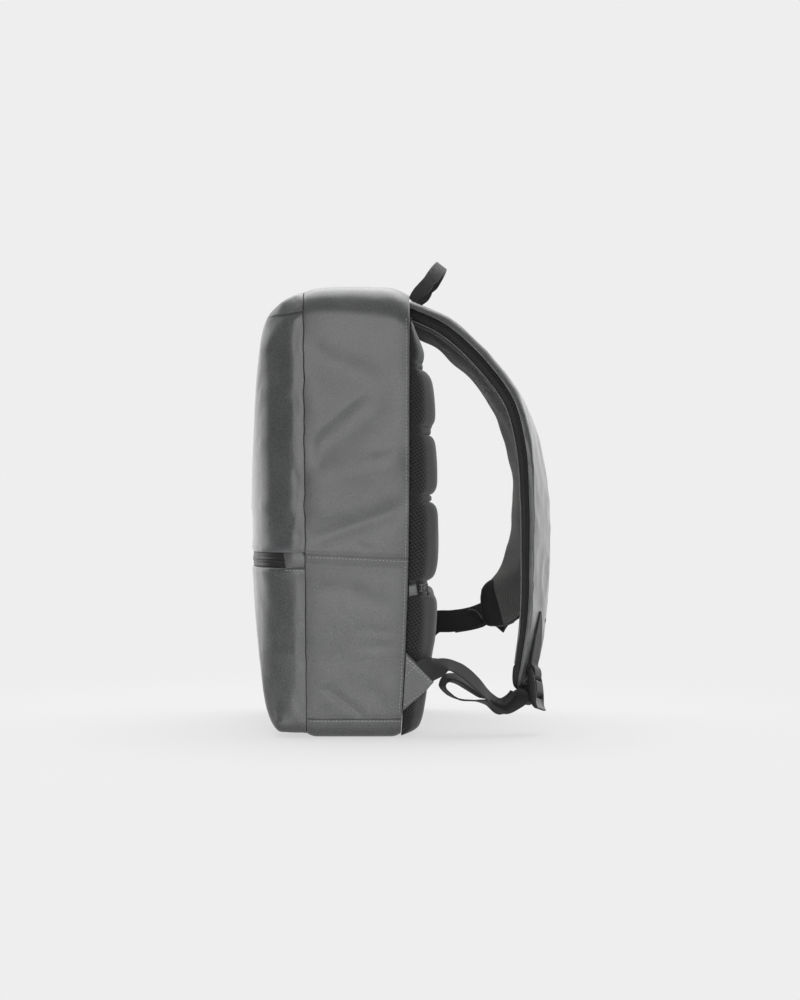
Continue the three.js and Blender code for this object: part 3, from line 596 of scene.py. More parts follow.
# Front panel: one domed skin of the same cloth, gathered by a dart at each corner and sewn to the
# gusset. The front pocket's zip parts it in two, and both cut edges are turned in round the zip.
FRONT_ROWS = table(
    "row depth side top bottom top_radius bottom_radius",
    (0, 0, 0, 0, 0, 28, 14),
    (1, 11, 0.4, 5, 0.6, 28, 13),
    (2, 20, 3, 9.5, 1.5, 29, 12),
    (3, 30, 8, 17, 3.5, 31, 12),
    (4, 39, 15, 28, 16, 33, 16),
    (5, 46, 26, 44, 41, 33, 24),
    (6, 52, 42, 87, 82, 32, 30),
    (7, 56.5, 66, 130, 122, 30, 30),
    (8, 60, 100, 175, 165, 22, 22),
    (9, 61.5, 126, 198, 204, 12, 12),
    (10, 62, 147.9, 216.9, 228.9, 0.1, 0.1),
)
SEAM_GAP = 0.4
FRONT_GAP = 0.1
CORNER_STEPS = 44
SIDE_STEPS = 64
END_STEPS = 40
FRONT_LEVELS = [0, 0.03, 0.07, 0.13, 0.2, 0.3, 0.45, 0.6, 0.75, 0.88, 0.95, 1, 1.05, 1.12, 1.25]
FRONT_LEVELS += [1.4 + 0.2 * step for step in range(44)]
TOP_DART = {"column": 12, "z": 428, "drop": 0.17, "length": 36}
TOP_DART_LIPS = {"over": 1.3, "over_fade": 2.2, "under": -1.0, "under_fade": 3}
BOTTOM_DART = {"turn": 0.3, "length": 30}
BOTTOM_CREASE = {"height": -1.6, "width": 0.04}
BOTTOM_FOLD = {"height": 0.8, "at": 0.2, "width": 0.14}
DART_FADE = 12
FACET = {"fade_in": 8, "end": 36, "fade_out": 14, "far_from": 6, "far_fade": 18}
LOW_FLAT = {"depth": 24, "depth_fade": 14, "z": 4, "z_fade": 44}
LEAST_RADIUS = 0.1
FRONT_SMOOTH_DEPTH = 45
TOP_FACET = table(
    "step out up far_out far_up",
    (0, 1, 0, 1, 0),
    (1, 0.985, 0.12, 0.99, 0.15),
    (2, 0.93, 0.29, 0.96, 0.33),
    (3, 0.8, 0.5, 0.9, 0.54),
    (4, 0.66, 0.71, 0.83, 0.75),
    (5, 0.52, 0.89, 0.75, 0.89),
    (6, 0.42, 0.965, 0.64, 0.96),
    (7, 0.26, 0.995, 0.42, 0.99),
    (8, 0, 1, 0, 1),
)


def soft_step(value):
    value = held(value)
    return value * value * (3 - 2 * value)


def corner_spot(turn, facet, far):
    """Place on an upper corner of radius one, from a round corner to a flat slope with a tight turn."""
    over, up = math.cos(turn * math.pi / 2), math.sin(turn * math.pi / 2)
    flat = {key: between(TOP_FACET, key, "step", 8 * turn) for key in ("out", "up", "far_out", "far_up")}
    flat_over = flat["out"] + far * (flat["far_out"] - flat["out"])
    flat_up = flat["up"] + far * (flat["far_up"] - flat["up"])
    return over + facet * (flat_over - over), up + facet * (flat_up - up)


def corner_turn(step, dart):
    """Turn of a grid line round an upper corner. The lines lie close together beside the dart."""
    column = TOP_DART["column"]
    if step <= column:
        return dart * (1 - (1 - step / column) ** 1.5)
    return dart + (1 - dart) * ((step - column) / (CORNER_STEPS - column)) ** 1.5


def outline(shape, depth):
    """Points of a ring of the front panel from its lower right corner round to it again."""
    points = []
    facet = soft_step(depth / FACET["fade_in"])
    facet *= 1 - soft_step((depth - FACET["end"]) / FACET["fade_out"])
    far = soft_step((depth - FACET["far_from"]) / FACET["far_fade"])
    corners = [
        (1, shape["bottom"] + shape["bottom_radius"], shape["bottom_radius"], -90, SIDE_STEPS),
        (1, shape["top"] - shape["top_radius"], shape["top_radius"], 0, END_STEPS),
        (-1, shape["top"] - shape["top_radius"], shape["top_radius"], 90, SIDE_STEPS),
        (-1, shape["bottom"] + shape["bottom_radius"], shape["bottom_radius"], 180, END_STEPS),
    ]
    arcs = []
    for way, z, radius, start, _ in corners:
        x = way * (shape["half"] - radius)
        if start in (-90, 180):
            turn = [math.radians(start + 90 * step / CORNER_STEPS) for step in range(CORNER_STEPS + 1)]
            arcs.append([(x + radius * math.cos(angle), z + radius * math.sin(angle)) for angle in turn])
            continue
        level = (TOP_DART["z"] - TOP_DART["drop"] * depth - z) / radius
        tries = [step / 100 for step in range(12, 80)]
        dart = next((turn for turn in tries if corner_spot(turn, facet, far)[1] >= level), tries[-1])
        arc = []
        for step in range(CORNER_STEPS + 1):
            over, up = corner_spot(corner_turn(step, dart), facet, far)
            arc.append((x + way * radius * over, z + radius * up))
        arcs.append(arc if start == 0 else arc[::-1])
    for index, arc in enumerate(arcs):
        points += arc
        (x0, z0), (x1, z1) = arc[-1], arcs[(index + 1) % 4][0]
        steps = corners[index][4]
        points += [(x0 + (x1 - x0) * i / steps, z0 + (z1 - z0) * i / steps) for i in range(1, steps)]
    return points + points[:1]


front_rings = []
for level in FRONT_LEVELS:
    row = {key: between(FRONT_ROWS, key, "row", level) for key in FRONT_ROWS[0]}
    drop = edge_roll(row["depth"], FRONT_ROLL)
    shape = {
        "half": BODY["half"] - row["side"] - drop,
        "bottom": BODY["bottom"] + row["bottom"] + drop,
        "top": BODY["top"] - row["top"] - drop,
        "top_radius": max(LEAST_RADIUS, row["top_radius"] - drop),
        "bottom_radius": max(LEAST_RADIUS, row["bottom_radius"] - drop),
    }
    low_flat = row["side"] * (1 - soft_step((row["depth"] - LOW_FLAT["depth"]) / LOW_FLAT["depth_fade"]))
    ring = []
    for x, z in outline(shape, row["depth"]):
        lower = 1 - soft_step((z - LOW_FLAT["z"]) / LOW_FLAT["z_fade"])
        x *= 1 + low_flat * lower / shape["half"]
        ring.append((x, seam_y(z) - FRONT_GAP - row["depth"], z))
    front_rings.append(ring)

FRONT_COLUMNS = len(front_rings[0]) - 1


def dart_height(column, depth):
    """Sewn dart across a corner of the front panel: its upper lip lies over its lower one."""
    column = column % FRONT_COLUMNS
    right_top = CORNER_STEPS + SIDE_STEPS
    left_top = right_top + CORNER_STEPS + END_STEPS
    around = column / CORNER_STEPS
    left_bottom = (left_top + CORNER_STEPS + SIDE_STEPS) / CORNER_STEPS
    total = 0
    for step in (column - right_top, left_top + CORNER_STEPS - column):
        past = step - TOP_DART["column"]
        if past > 0:
            reach = past / (CORNER_STEPS - TOP_DART["column"])
            lap = TOP_DART_LIPS["over"] * math.exp(-((TOP_DART_LIPS["over_fade"] * reach ** 1.5) ** 2))
        else:
            reach = -past / TOP_DART["column"]
            lap = TOP_DART_LIPS["under"] * math.exp(-((TOP_DART_LIPS["under_fade"] * reach ** 1.5) ** 2))
        total += lap * held((TOP_DART["length"] - depth) / DART_FADE)
    for turn in (around, left_bottom + 1 - around):
        past = turn - BOTTOM_DART["turn"]
        crease = BOTTOM_CREASE["height"] * math.exp(-((past / BOTTOM_CREASE["width"]) ** 2))
        beside = (past - BOTTOM_FOLD["at"]) / BOTTOM_FOLD["width"]
        fold = BOTTOM_FOLD["height"] * math.exp(-(beside ** 2))
        total += (crease + fold) * held((BOTTOM_DART["length"] - depth) / DART_FADE)
    return total * min(1, depth)


FRONT_FOLDS = table(
    "from to width height drop",
    ((-60, 262), (-50, 248), 3.5, -0.7, 0),
    ((-66, 214), (-52, 198), 3, -0.7, 0),
    ((-62, 204), (-54, 230), 3, 0.6, 0),
    ((-70, 330), (-52, 352), 4, -0.5, 0),
    ((-100, 158), (-84, 120), 5, -0.6, 0),
    ((-80, 60), (-56, 20), 6, 0.7, 0),
)
FRONT_WAVES = {"rise": 0.7, "sizes": (70, 30, 60), "fine_rise": 0.2, "fine_size": 17}
FRONT_FADE = {"seam": 8, "from_x": 95, "over_x": 30}
PUCKER = {"rise": 0.7, "sizes": (30, 7, 9), "at": 6, "width": 4.5}


def front_swell(x, y, z):
    """Soft unevenness of the front's padding, its folds, and puckers along the seam."""
    wave = uneven((x, y, z), **FRONT_WAVES)
    depth = seam_y(z) - y
    edge = held(depth / FRONT_FADE["seam"])
    side = held((abs(x) - FRONT_FADE["from_x"]) / FRONT_FADE["over_x"])
    reach = (depth - PUCKER["at"]) / PUCKER["width"]
    pucker = PUCKER["rise"] * waves((x, y, z), PUCKER["sizes"]) * math.exp(-(reach ** 2))
    return edge * (wave + side * fold_height(FRONT_FOLDS, y, z)) + side * pucker


front = laid_panel(
    "front_panel_skin",
    FRONT_COLUMNS,
    len(FRONT_LEVELS) - 1,
    lambda u, v: front_rings[round(v * (len(FRONT_LEVELS) - 1))][round(u * FRONT_COLUMNS)],
)
turned_out(front, lambda point: point - Vector((0, 0.05, 0.23)))
spots = {}
for level, ring in zip(FRONT_LEVELS, front_rings):
    depth = between(FRONT_ROWS, "depth", "row", level)
    for column, point in enumerate(ring):
        spots[tuple(round(value, 2) for value in point)] = dart_height(column, depth)
pressed(front, lambda x, y, z: spots.get((round(x, 2), round(y, 2), round(z, 2)), 0))


def choose(piece, wanted):
    """Selects the points of a piece in edit mode for which wanted(x, y, z), in millimetres, is true."""
    bpy.ops.mesh.select_all(action="DESELECT")
    bpy.ops.object.mode_set(mode="OBJECT")
    for point in piece.data.vertices:
        point.select = wanted(*(point.co / MM))
    bpy.ops.object.mode_set(mode="EDIT")


edit(
    front,
    lambda: bpy.ops.mesh.remove_doubles(threshold=0.0002),
    lambda: choose(front, lambda x, y, z: y < seam_y(z) - FRONT_SMOOTH_DEPTH),
    lambda: bpy.ops.mesh.vertices_smooth(factor=0.5, repeat=30),
)
pressed(front, front_swell)
for loop, spot in zip(front.data.loops, front.data.uv_layers.active.data):
    point = front.data.vertices[loop.vertex_index].co
    spot.uv = (point.x, point.z)


def copied(piece, name):
    twin = piece.copy()
    twin.data = piece.data.copy()
    twin.name = twin.data.name = name
    scene.collection.objects.link(twin)
    return twin


def cut(piece, place, normal, drop=True):
    """Cuts a piece by a plane and drops what lies on the side that the normal points to."""
    spot = tuple(value * MM for value in place)
    edit(piece, lambda: bpy.ops.mesh.bisect(plane_co=spot, plane_no=normal, clear_outer=drop))


def scored(piece, place, normal):
    """Cuts a line of new points across a piece and drops nothing."""
    cut(piece, place, normal, drop=False)


ZIP_BOTTOM_Z = 170.5
ZIP_TOP_Z = 184.5
LIP_ROLL = 1.6
LIP_PUFF = {"height": 0.7, "at": 5, "width": 4}
LIP_LINES = (0.4, 0.9, 1.6, 3, 5, 8)


def zip_lip(edge_z):
    """Turned edge along the zip: puffed a little, then rolled in over its last millimetres."""

    def height(x, y, z):
        reach = abs(z - edge_z)
        beside = (reach - LIP_PUFF["at"]) / LIP_PUFF["width"]
        return LIP_PUFF["height"] * math.exp(-(beside ** 2)) - edge_roll(reach, LIP_ROLL)

    return height


for name, edge_z, side in (
    ("front_panel_upper", ZIP_TOP_Z + SEAM_GAP, 1),
    ("front_panel_lower", ZIP_BOTTOM_Z - SEAM_GAP, -1),
):
    panel = copied(front, f"{name}_cloth")
    for reach in LIP_LINES:
        scored(panel, (0, 0, edge_z + side * reach), (0, 0, 1))
    cut(panel, (0, 0, edge_z), (0, 0, -side))
    pressed(panel, zip_lip(edge_z))
    thickened(panel, CLOTH_WALL)
    sewn(panel, coated_cloth, "coated_cloth", name)

# Front zip: a black coated coil zip whose two lips meet over the hidden coil, sunk between the turned
# edges of the panel. A tab of the bag's own cloth is sewn over each end, and the slider sits at one end.
ZIP_RECESS = 1.2
GARAGE_END_Y = -71
GARAGE_INNER_X = 40
GARAGE_LEAN = 0.14
GARAGE_LINES = (0.5, 1.1, 2)
GARAGE_WALL = 1.4
TAPE_WALL = 1
TAPE_END_LAP = 4
BAND_LAP = 2.5
ZIP_MIDDLE_Z = (ZIP_BOTTOM_Z + ZIP_TOP_Z) / 2
ZIP_LINES = (0.12, 0.35, 0.7, 2.2, 2.5, 2.9, 5.2, 5.6)

band = copied(front, "front_zip_band")
cut(band, (0, 0, ZIP_TOP_Z + BAND_LAP), (0, 0, 1))
cut(band, (0, 0, ZIP_BOTTOM_Z - BAND_LAP), (0, 0, -1))

zip_material, tree, shader = new_material("black_zip_tape", Roughness=0.45, Specular_IOR_Level=0.3)
dyed(tree, shader, (0.009, 0.009, 0.0093), 0.5)
woven(tree, shader, 0.0012, 0.0001, 0.8)


def zip_height(x, y, z):
    """Two lips beside a fine middle line, sunk below the panel and dipping at the outer edges."""
    reach = abs(z - ZIP_MIDDLE_Z)
    lip = 0.9 if 0.3 < reach < 2.4 else 0.15 if reach < 0.2 else 0.35
    return lip - ZIP_RECESS - 0.5 * max(0, reach - 6)


def garage_height(x, y, z):
    """The tab's free end is rolled, and its long edges dip under the panel."""
    from_end = max(0, y - GARAGE_END_Y - GARAGE_LEAN * (ZIP_TOP_Z - z))
    return 0.1 - 0.8 * edge_roll(from_end, 1.2) - 0.28 * max(0, abs(z - ZIP_MIDDLE_Z) - 5.6)


tape = copied(band, "front_zip_tape_cloth")
cut(tape, (0, GARAGE_END_Y + TAPE_END_LAP, 0), (0, 1, 0))
for line in ZIP_LINES:
    for way in (-1, 1):
        scored(tape, (0, 0, ZIP_MIDDLE_Z + way * line), (0, 0, 1))
pressed(tape, zip_height)
thickened(tape, TAPE_WALL)
sewn(tape, zip_material, "zip_tape", "front_zip_tape")

for side, way in SIDES:
    garage = copied(band, f"front_zip_garage_{side}_cloth")
    cut(garage, (way * GARAGE_INNER_X, 0, 0), (-way, 0, 0))
    cut(garage, (0, GARAGE_END_Y, ZIP_TOP_Z), (0, -1, -GARAGE_LEAN))
    for reach in GARAGE_LINES:
        scored(garage, (0, GARAGE_END_Y + reach, ZIP_TOP_Z), (0, -1, -GARAGE_LEAN))
    pressed(garage, garage_height)
    thickened(garage, GARAGE_WALL)
    sewn(garage, coated_cloth, "coated_cloth", f"front_zip_garage_{side}")

bpy.data.objects.remove(band)
bpy.data.objects.remove(front)

# Back panel and cushions: a cloth-covered board carries two moulded foam cushions under black spacer
# mesh. Sewn channels part the upper cushion into four pads, and the back pocket's zip lies below them.
CUSHION_HALF = 141
CUSHION_CORNERS = {"top": 424, "top_radius": 30, "bottom": -1, "bottom_radius": 14}
UPPER_RISE = table(
    "z rise",
    (157, 21.5), (159.5, 25), (164, 27.6), (176, 29.8), (197, 29.9), (222, 28.9), (229, 27.6),
    (233, 25.4), (235.2, 22.6), (236.3, 19.6), (237.4, 21.6), (239.7, 22.2), (242, 21.6),
    (243.1, 19.6), (244.2, 22.4), (246.8, 25.2), (251, 27.2), (258, 28.2), (284, 27.4), (295, 26),
    (300.4, 23.8), (302.9, 21.2), (304, 18.2), (305.2, 20.6), (308.1, 21.2), (311, 20.4),
    (312.2, 18), (313.4, 21.2), (316, 24), (320.5, 25.7), (330, 26), (352, 24), (361.5, 21.4),
    (367, 17.4), (369.4, 13.8), (370.5, 11), (371.6, 12.8), (373.7, 13.2), (375.8, 12.4), (377, 10),
    (378.2, 12.2), (381, 13.9), (387, 14.5), (396, 12), (410, 6.4), (418, 3.4), (422, 0.6),
)
LOWER_RISE = table(
    "z rise",
    (0.6, 2), (2.5, 9), (7, 16.6), (14, 20), (24, 22.2), (45, 24.2), (80, 27.3), (96, 29.6),
    (116, 30.4), (132, 30), (138, 28.2), (141, 25), (142, 21),
)
CUSHION_EDGE = table(
    "step inset share",
    (0, 0, 0), (1, -0.6, 0.22), (2, 0, 0.42), (3, 3.4, 0.64), (4, 9.5, 0.82), (5, 18, 0.94),
    (6, 32, 1), (7, 62, 1), (8, 100, 0.97), (9, 141, 0.9),
)
EDGE_STEPS = CUSHION_EDGE[-1]["step"]

# Spacer mesh: staggered rows of small holes between knitted bars, coarser the larger the pitch.
air_mesh, given, result = new_group(
    "spacer_mesh", {"Cut": "Vector", "Pitch": "Float"}, {"Bars": "Float"}
)
axes = cut_axes(air_mesh, given, 2 * math.pi)
lean = calc(air_mesh, "MULTIPLY_ADD", axes["Y"], 0.62, axes["X"])
rise = calc(air_mesh, "MULTIPLY_ADD", axes["X"], -0.62, axes["Y"])
cells = calc(air_mesh, "MULTIPLY", calc(air_mesh, "SINE", lean), calc(air_mesh, "SINE", rise))
holes = faded(air_mesh, calc(air_mesh, "ABSOLUTE", cells), 0.25, 0.75, 1, 0)
air_mesh.links.new(holes, result["Bars"])

# Diagonal ribs: the closer knit on the wearer's side of the strap pads.
slant, given, result = new_group("diagonal_ribs", {"Cut": "Vector", "Pitch": "Float"}, {"Height": "Float"})
axes = cut_axes(slant, given, 2 * math.pi)
wave = calc(slant, "SINE", calc(slant, "ADD", axes["X"], axes["Y"]))
slant.links.new(calc(slant, "MULTIPLY_ADD", wave, 0.5, 0.5), result["Height"])


FACE_FADE = 0.004
RIB_PITCH = 0.0034


def meshed(name, wall_colour, face_colour_with_sheen, pitch, depth, face_from, face_to, nap, face_knit, end_from):
    """Black spacer mesh with a soft nap. Between two places across its flat cut it is closer knit, and there
    its base colour is made paler as painted sheen; past a place along it there is smooth black cloth."""
    material, tree, shader = new_material(
        name, Roughness=0.82, Specular_IOR_Level=0.25, Sheen_Weight=nap, Sheen_Roughness=0.38
    )
    shader.inputs["Sheen Tint"].default_value = (0.55, 0.56, 0.58, 1)
    bars = grouped(tree, air_mesh, {"Cut": place_of(tree, "UV"), "Pitch": pitch})
    shade = mottled(tree, 0.5)
    axes = join(tree, "ShaderNodeSeparateXYZ", {0: place_of(tree, "UV")}).outputs
    reach = calc(tree, "ABSOLUTE", calc(tree, "SUBTRACT", axes["X"], (face_from + face_to) / 2))
    half = (face_to - face_from) / 2
    face = faded(tree, reach, half - FACE_FADE, half + FACE_FADE, 1, 0)
    knitted = calc(tree, "LESS_THAN", axes["Y"], end_from)
    # Painted sheen: across the face band the base colour is the paler face colour, standing for the sheen
    # that band catches; the wall keeps the darker colour.
    body = join(tree, "ShaderNodeMix", {0: face, 6: wall_colour, 7: face_colour_with_sheen}, data_type="RGBA").outputs[2]
    body = join(tree, "ShaderNodeMix", {0: knitted, 6: END_BLACK, 7: body}, data_type="RGBA").outputs[2]
    open_bars = calc(tree, "MULTIPLY_ADD", bars, 0.8, 0.2)
    close = grouped(tree, slant, {"Cut": place_of(tree, "UV"), "Pitch": RIB_PITCH})
    close_bars = calc(tree, "MULTIPLY_ADD", close, face_knit, 1 - face_knit)
    knit = join(tree, "ShaderNodeMix", {0: face, 2: open_bars, 3: close_bars}).outputs[0]
    tinted(tree, shader, body, calc(tree, "MULTIPLY", shade, knit))
    close_relief = calc(tree, "MULTIPLY", close, face_knit)
    across_face = join(tree, "ShaderNodeMix", {0: face, 2: bars, 3: close_relief}).outputs[0]
    embossed(tree, shader, calc(tree, "MULTIPLY", across_face, knitted), depth, 0.9)
    return material


def corner_half(z):
    """Half width of the cushion at a height, round its corners."""
    up = z - (CUSHION_CORNERS["top"] - CUSHION_CORNERS["top_radius"])
    down = CUSHION_CORNERS["bottom"] + CUSHION_CORNERS["bottom_radius"] - z
    radius = CUSHION_CORNERS["top_radius" if up > 0 else "bottom_radius"]
    reach = max(0, up, down)
    return CUSHION_HALF - radius + math.sqrt(max(0, radius ** 2 - reach ** 2))


def cushion_edge(u):
    """Inset from the cushion's side and share of its rise, at a place across it."""
    step = EDGE_STEPS * (1 - abs(2 * u - 1))
    return [between(CUSHION_EDGE, key, "step", step) for key in ("inset", "share")]


def cushion_place(rises, low, high):
    def place(u, v):
        z = low + (high - low) * v
        rise = between(rises, "rise", "z", z)
        inset, share = cushion_edge(u)
        wide = corner_half(z)
        x = wide - inset * wide / CUSHION_HALF
        y = rear_y(z) + SEAM_GAP + rise * share
        return x if u < 0.5 else -x, y, z

    return place


WALL_BLACK = (0.024, 0.024, 0.024, 1)
# The cushion faces are coloured paler than their walls: partly their finer knit, partly painted sheen for the
# light they catch when seen at a grazing angle.
FACE_BLACK_WITH_SHEEN = (0.06, 0.06, 0.06, 1)
END_BLACK = (0.026, 0.026, 0.026, 1)
WALL_RISE = 0.014
NO_END = 9
MESH_WALL = 2
CUSHION_GIVE = 0.5
CUSHION_WAVES = (24, 24, 24)
BOARD = {"half": 142, "low": 9, "height": 434, "corner": 0.08, "narrowing": 0.14, "wall": 3}


def board_place(u, v):
    z = BOARD["low"] + BOARD["height"] * v
    past = max(0, (v - 1 + BOARD["corner"]) / BOARD["corner"])
    rounded = min(1, 1 - BOARD["narrowing"] + BOARD["narrowing"] * math.sqrt(max(0, 1 - past ** 2)))
    return BOARD["half"] * (1 - 2 * u) * rounded, rear_y(z) - 0.2, z


board = laid_panel("back_panel_cloth", 40, 60, board_place)
turned_out(board, lambda point: Vector((0, 1, 0)))
thickened(board, BOARD["wall"])
back_cloth, tree, shader = new_material("black_back_cloth", Roughness=0.75, Sheen_Weight=0.15)
dyed(tree, shader, (0.02, 0.02, 0.021), 0.4)
woven(tree, shader, 0.001, 0.00015, 0.8)
sewn(board, back_cloth, "back_cloth", "back_panel")

for name, rises, rows in (
    ("back_cushion_upper", UPPER_RISE, 340),
    ("back_cushion_lower", LOWER_RISE, 130),
):
    low, high = rises[0]["z"], rises[-1]["z"]
    cushion = laid_panel(f"{name}_mesh", 108, rows, cushion_place(rises, low, high))
    turned_out(cushion, lambda point: Vector((0, 1, 0)))
    pressed(cushion, lambda x, y, z: CUSHION_GIVE * waves((x, y, z), CUSHION_WAVES))
    around = max(spot.uv.x for spot in cushion.data.uv_layers.active.data)
    mesh = meshed(
        f"{name}_black_mesh",
        WALL_BLACK,
        FACE_BLACK_WITH_SHEEN,
        pitch=0.0068,
        depth=0.0011,
        face_from=WALL_RISE,
        face_to=around - WALL_RISE,
        nap=0.32,
        face_knit=0.12,
        end_from=NO_END,
    )
    thickened(cushion, MESH_WALL)
    sewn(cushion, mesh, "air_mesh", name)

# Back zip: the same black zip, sewn in the channel between the cushions. A folded tab of the coated
# cloth covers each of its ends at the side of the bag.
BACK_ZIP = {"low": 142.6, "high": 156.6, "rise": 19.2, "lap": 3, "inset": 0.6}
BACK_ZIP_MIDDLE = (BACK_ZIP["low"] + BACK_ZIP["high"]) / 2
BACK_GARAGE = [(54.8, 141), (64, 142.5), (62, 154.5), (54.8, 153)]
BACK_GARAGE_X = 141.4
BACK_GARAGE_WALL = 1


def back_tape_place(u, v):
    z = BACK_ZIP["low"] - BACK_ZIP["lap"]
    z += (BACK_ZIP["high"] - BACK_ZIP["low"] + 2 * BACK_ZIP["lap"]) * v
    inset, share = cushion_edge(u)
    reach = abs(z - BACK_ZIP_MIDDLE)
    lip = 1.0 if 0.3 < reach < 2.6 else 0.1 if reach < 0.3 else 0.3
    x = CUSHION_HALF - BACK_ZIP["inset"] - inset
    y = rear_y(z) + SEAM_GAP + (BACK_ZIP["rise"] + lip) * share
    return x if u < 0.5 else -x, y, z


back_tape = laid_panel("back_zip_tape_cloth", 96, 80, back_tape_place)
turned_out(back_tape, lambda point: Vector((0, 1, 0)))
thickened(back_tape, TAPE_WALL)
sewn(back_tape, zip_material, "zip_tape", "back_zip_tape")

for side, way in SIDES:

    def garage_place(u, v):
        (y0, z0), (y1, z1), (y2, z2), (y3, z3) = BACK_GARAGE
        y = (1 - v) * ((1 - u) * y0 + u * y1) + v * ((1 - u) * y3 + u * y2)
        z = (1 - v) * ((1 - u) * z0 + u * z1) + v * ((1 - u) * z3 + u * z2)
        puff = 1.3 * (1 - abs(2 * v - 1) ** 4) * (1 - max(0, u - 0.5) ** 2) + 0.5
        return way * (BACK_GARAGE_X + puff), y, z

    garage = laid_panel(f"back_zip_garage_{side}_cloth", 16, 16, garage_place)
    turned_out(garage, lambda point: Vector((point.x, 0, 0)))
    thickened(garage, BACK_GARAGE_WALL)
    sewn(garage, coated_cloth, "coated_cloth", f"back_zip_garage_{side}")

# Zip sliders: die-cast metal bodies, each with a bridge and a flat pull. They ride on the lips of
# their zip.
slider_metal, tree, shader = new_material("dark_slider_metal", Metallic=1.0, Specular_IOR_Level=0.5)
shade = dyed(tree, shader, (0.16, 0.16, 0.165), 0.5)
tree.links.new(calc(tree, "MULTIPLY", shade, 0.34), shader.inputs["Roughness"])


def block(size, place, bevel):
    """A bevelled block added at its size and place, in millimetres."""
    bpy.ops.object.select_all(action="DESELECT")
    bpy.ops.mesh.primitive_cube_add(size=1)
    piece = bpy.context.object
    piece.data.transform(Matrix.Diagonal((*(value * MM for value in size), 1)))
    piece.data.transform(Matrix.Translation(Vector(place) * MM))
    edit(piece, lambda: bpy.ops.mesh.bevel(offset=bevel * MM, segments=3, affect="EDGES"))
    return piece


def joined(name, pieces):
    picked(*pieces)
    bpy.ops.object.join()
    whole = bpy.context.object
    whole.name = whole.data.name = name
    bpy.ops.object.shade_smooth_by_angle(angle=math.radians(40))
    return whole


def slider(node, pull_length, shift, along, out):
    """A slider in the place of its solid, its pull along one direction and its face towards another."""
    low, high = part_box(node)
    place = (Vector(low) + Vector(high)) / 2 / MM + Vector(shift)
    parts = [
        block((11, 8, 1.2), (0, 0, 0.9), 0.5),
        block((11, 8, 1.2), (0, 0, 3.0), 0.5),
        block((4, 3, 2.2), (2.5, 0, 2.0), 0.4),
        block((6, 2.4, 1.4), (-0.5, 0, 4.0), 0.6),
        block((pull_length, 5, 1.2), (pull_length / 2 - 2, 0, 4.6), 0.5),
    ]
    whole = joined(f"{node}_metal", parts)
    out = Vector(out).normalized()
    along = (Vector(along) - out * Vector(along).dot(out)).normalized()
    turn = Matrix((along, out.cross(along), out)).transposed().to_4x4()
    whole.data.transform(Matrix.Translation(Vector(place) * MM) @ turn)
    sewn(whole, slider_metal, "zip_metal", node)


slider("front_zip_slider", 22, (-6, 3, 0), along=(1, -0.45, 0), out=(-0.42, -0.9, 0))
slider("back_zip_slider", 6, (-1.2, -1.2, 0), along=(-0.75, 0.66, 0), out=(0.66, 0.75, 0))

# Shoulder straps: a foam pad with a spacer mesh underside and edges, faced with the bag's coated cloth.
# Both are sewn into the top rear seam and narrow towards the buckle at the lower end.
STRAP_UPPER_ROWS = table(
    "x y z roll left_roll width thick",
    (51.8, 53.8, 434.4, 1, 5, 60, 17),
    (54, 93, 415.4, 1, 6, 66, 18),
    (58, 134.2, 377.6, 2, 7, 68, 17.5),
    (64, 163.2, 338.9, 5, 10, 68, 16.5),
)
STRAP_LOWER_ROWS = {
    "right": table(
        "x y z roll width thick",
        (70, 177.6, 297, 12, 66, 15),
        (77, 184.2, 240, 18, 64, 13.6),
        (85, 184.6, 180, 20, 60, 12.4),
        (94, 181.8, 120, 20, 54, 11),
        (101, 175.5, 78, 22, 46, 9.5),
        (104.5, 166.6, 44.4, 20, 36, 7.5),
    ),
    "left": table(
        "x y z roll width thick",
        (70, 178.6, 297, 13, 66, 15),
        (77, 186.5, 240, 14, 64, 14),
        (83, 183.6, 186, 22, 60, 12),
        (90, 173.5, 144, 44, 57, 11),
        (95, 158.5, 124.5, 68, 52, 10),
        (98, 136.5, 123, 82, 47, 9.5),
    ),
}
STRAP_STEPS = 170
END_SHARE = 0.06
CAP_SHARE = 0.075
PAD_FACE = [(-0.43, 0.34), (-0.33, 0.45), (-0.2, 0.5), (0, 0.52), (0.2, 0.5), (0.33, 0.45), (0.43, 0.34)]
PAD_SIDE = [
    (0.47, 0.16), (0.485, 0.02), (0.515, -0.08), (0.515, -0.24), (0.48, -0.4), (0.39, -0.49), (0.2, -0.52),
]
PAD_SECTION = PAD_FACE + PAD_SIDE + [(0, -0.52)] + [(-a, b) for a, b in reversed(PAD_SIDE)]
COVER_HALF = [
    (-0.5, 0.06), (-0.499, 0.12), (-0.494, 0.2), (-0.484, 0.3), (-0.468, 0.4), (-0.445, 0.49),
    (-0.415, 0.55), (-0.38, 0.585), (-0.3, 0.61), (-0.15, 0.625),
]
COVER_CREST = 0.63
COVER_SECTION = COVER_HALF + [(0, COVER_CREST)] + [(-a, b) for a, b in reversed(COVER_HALF)]


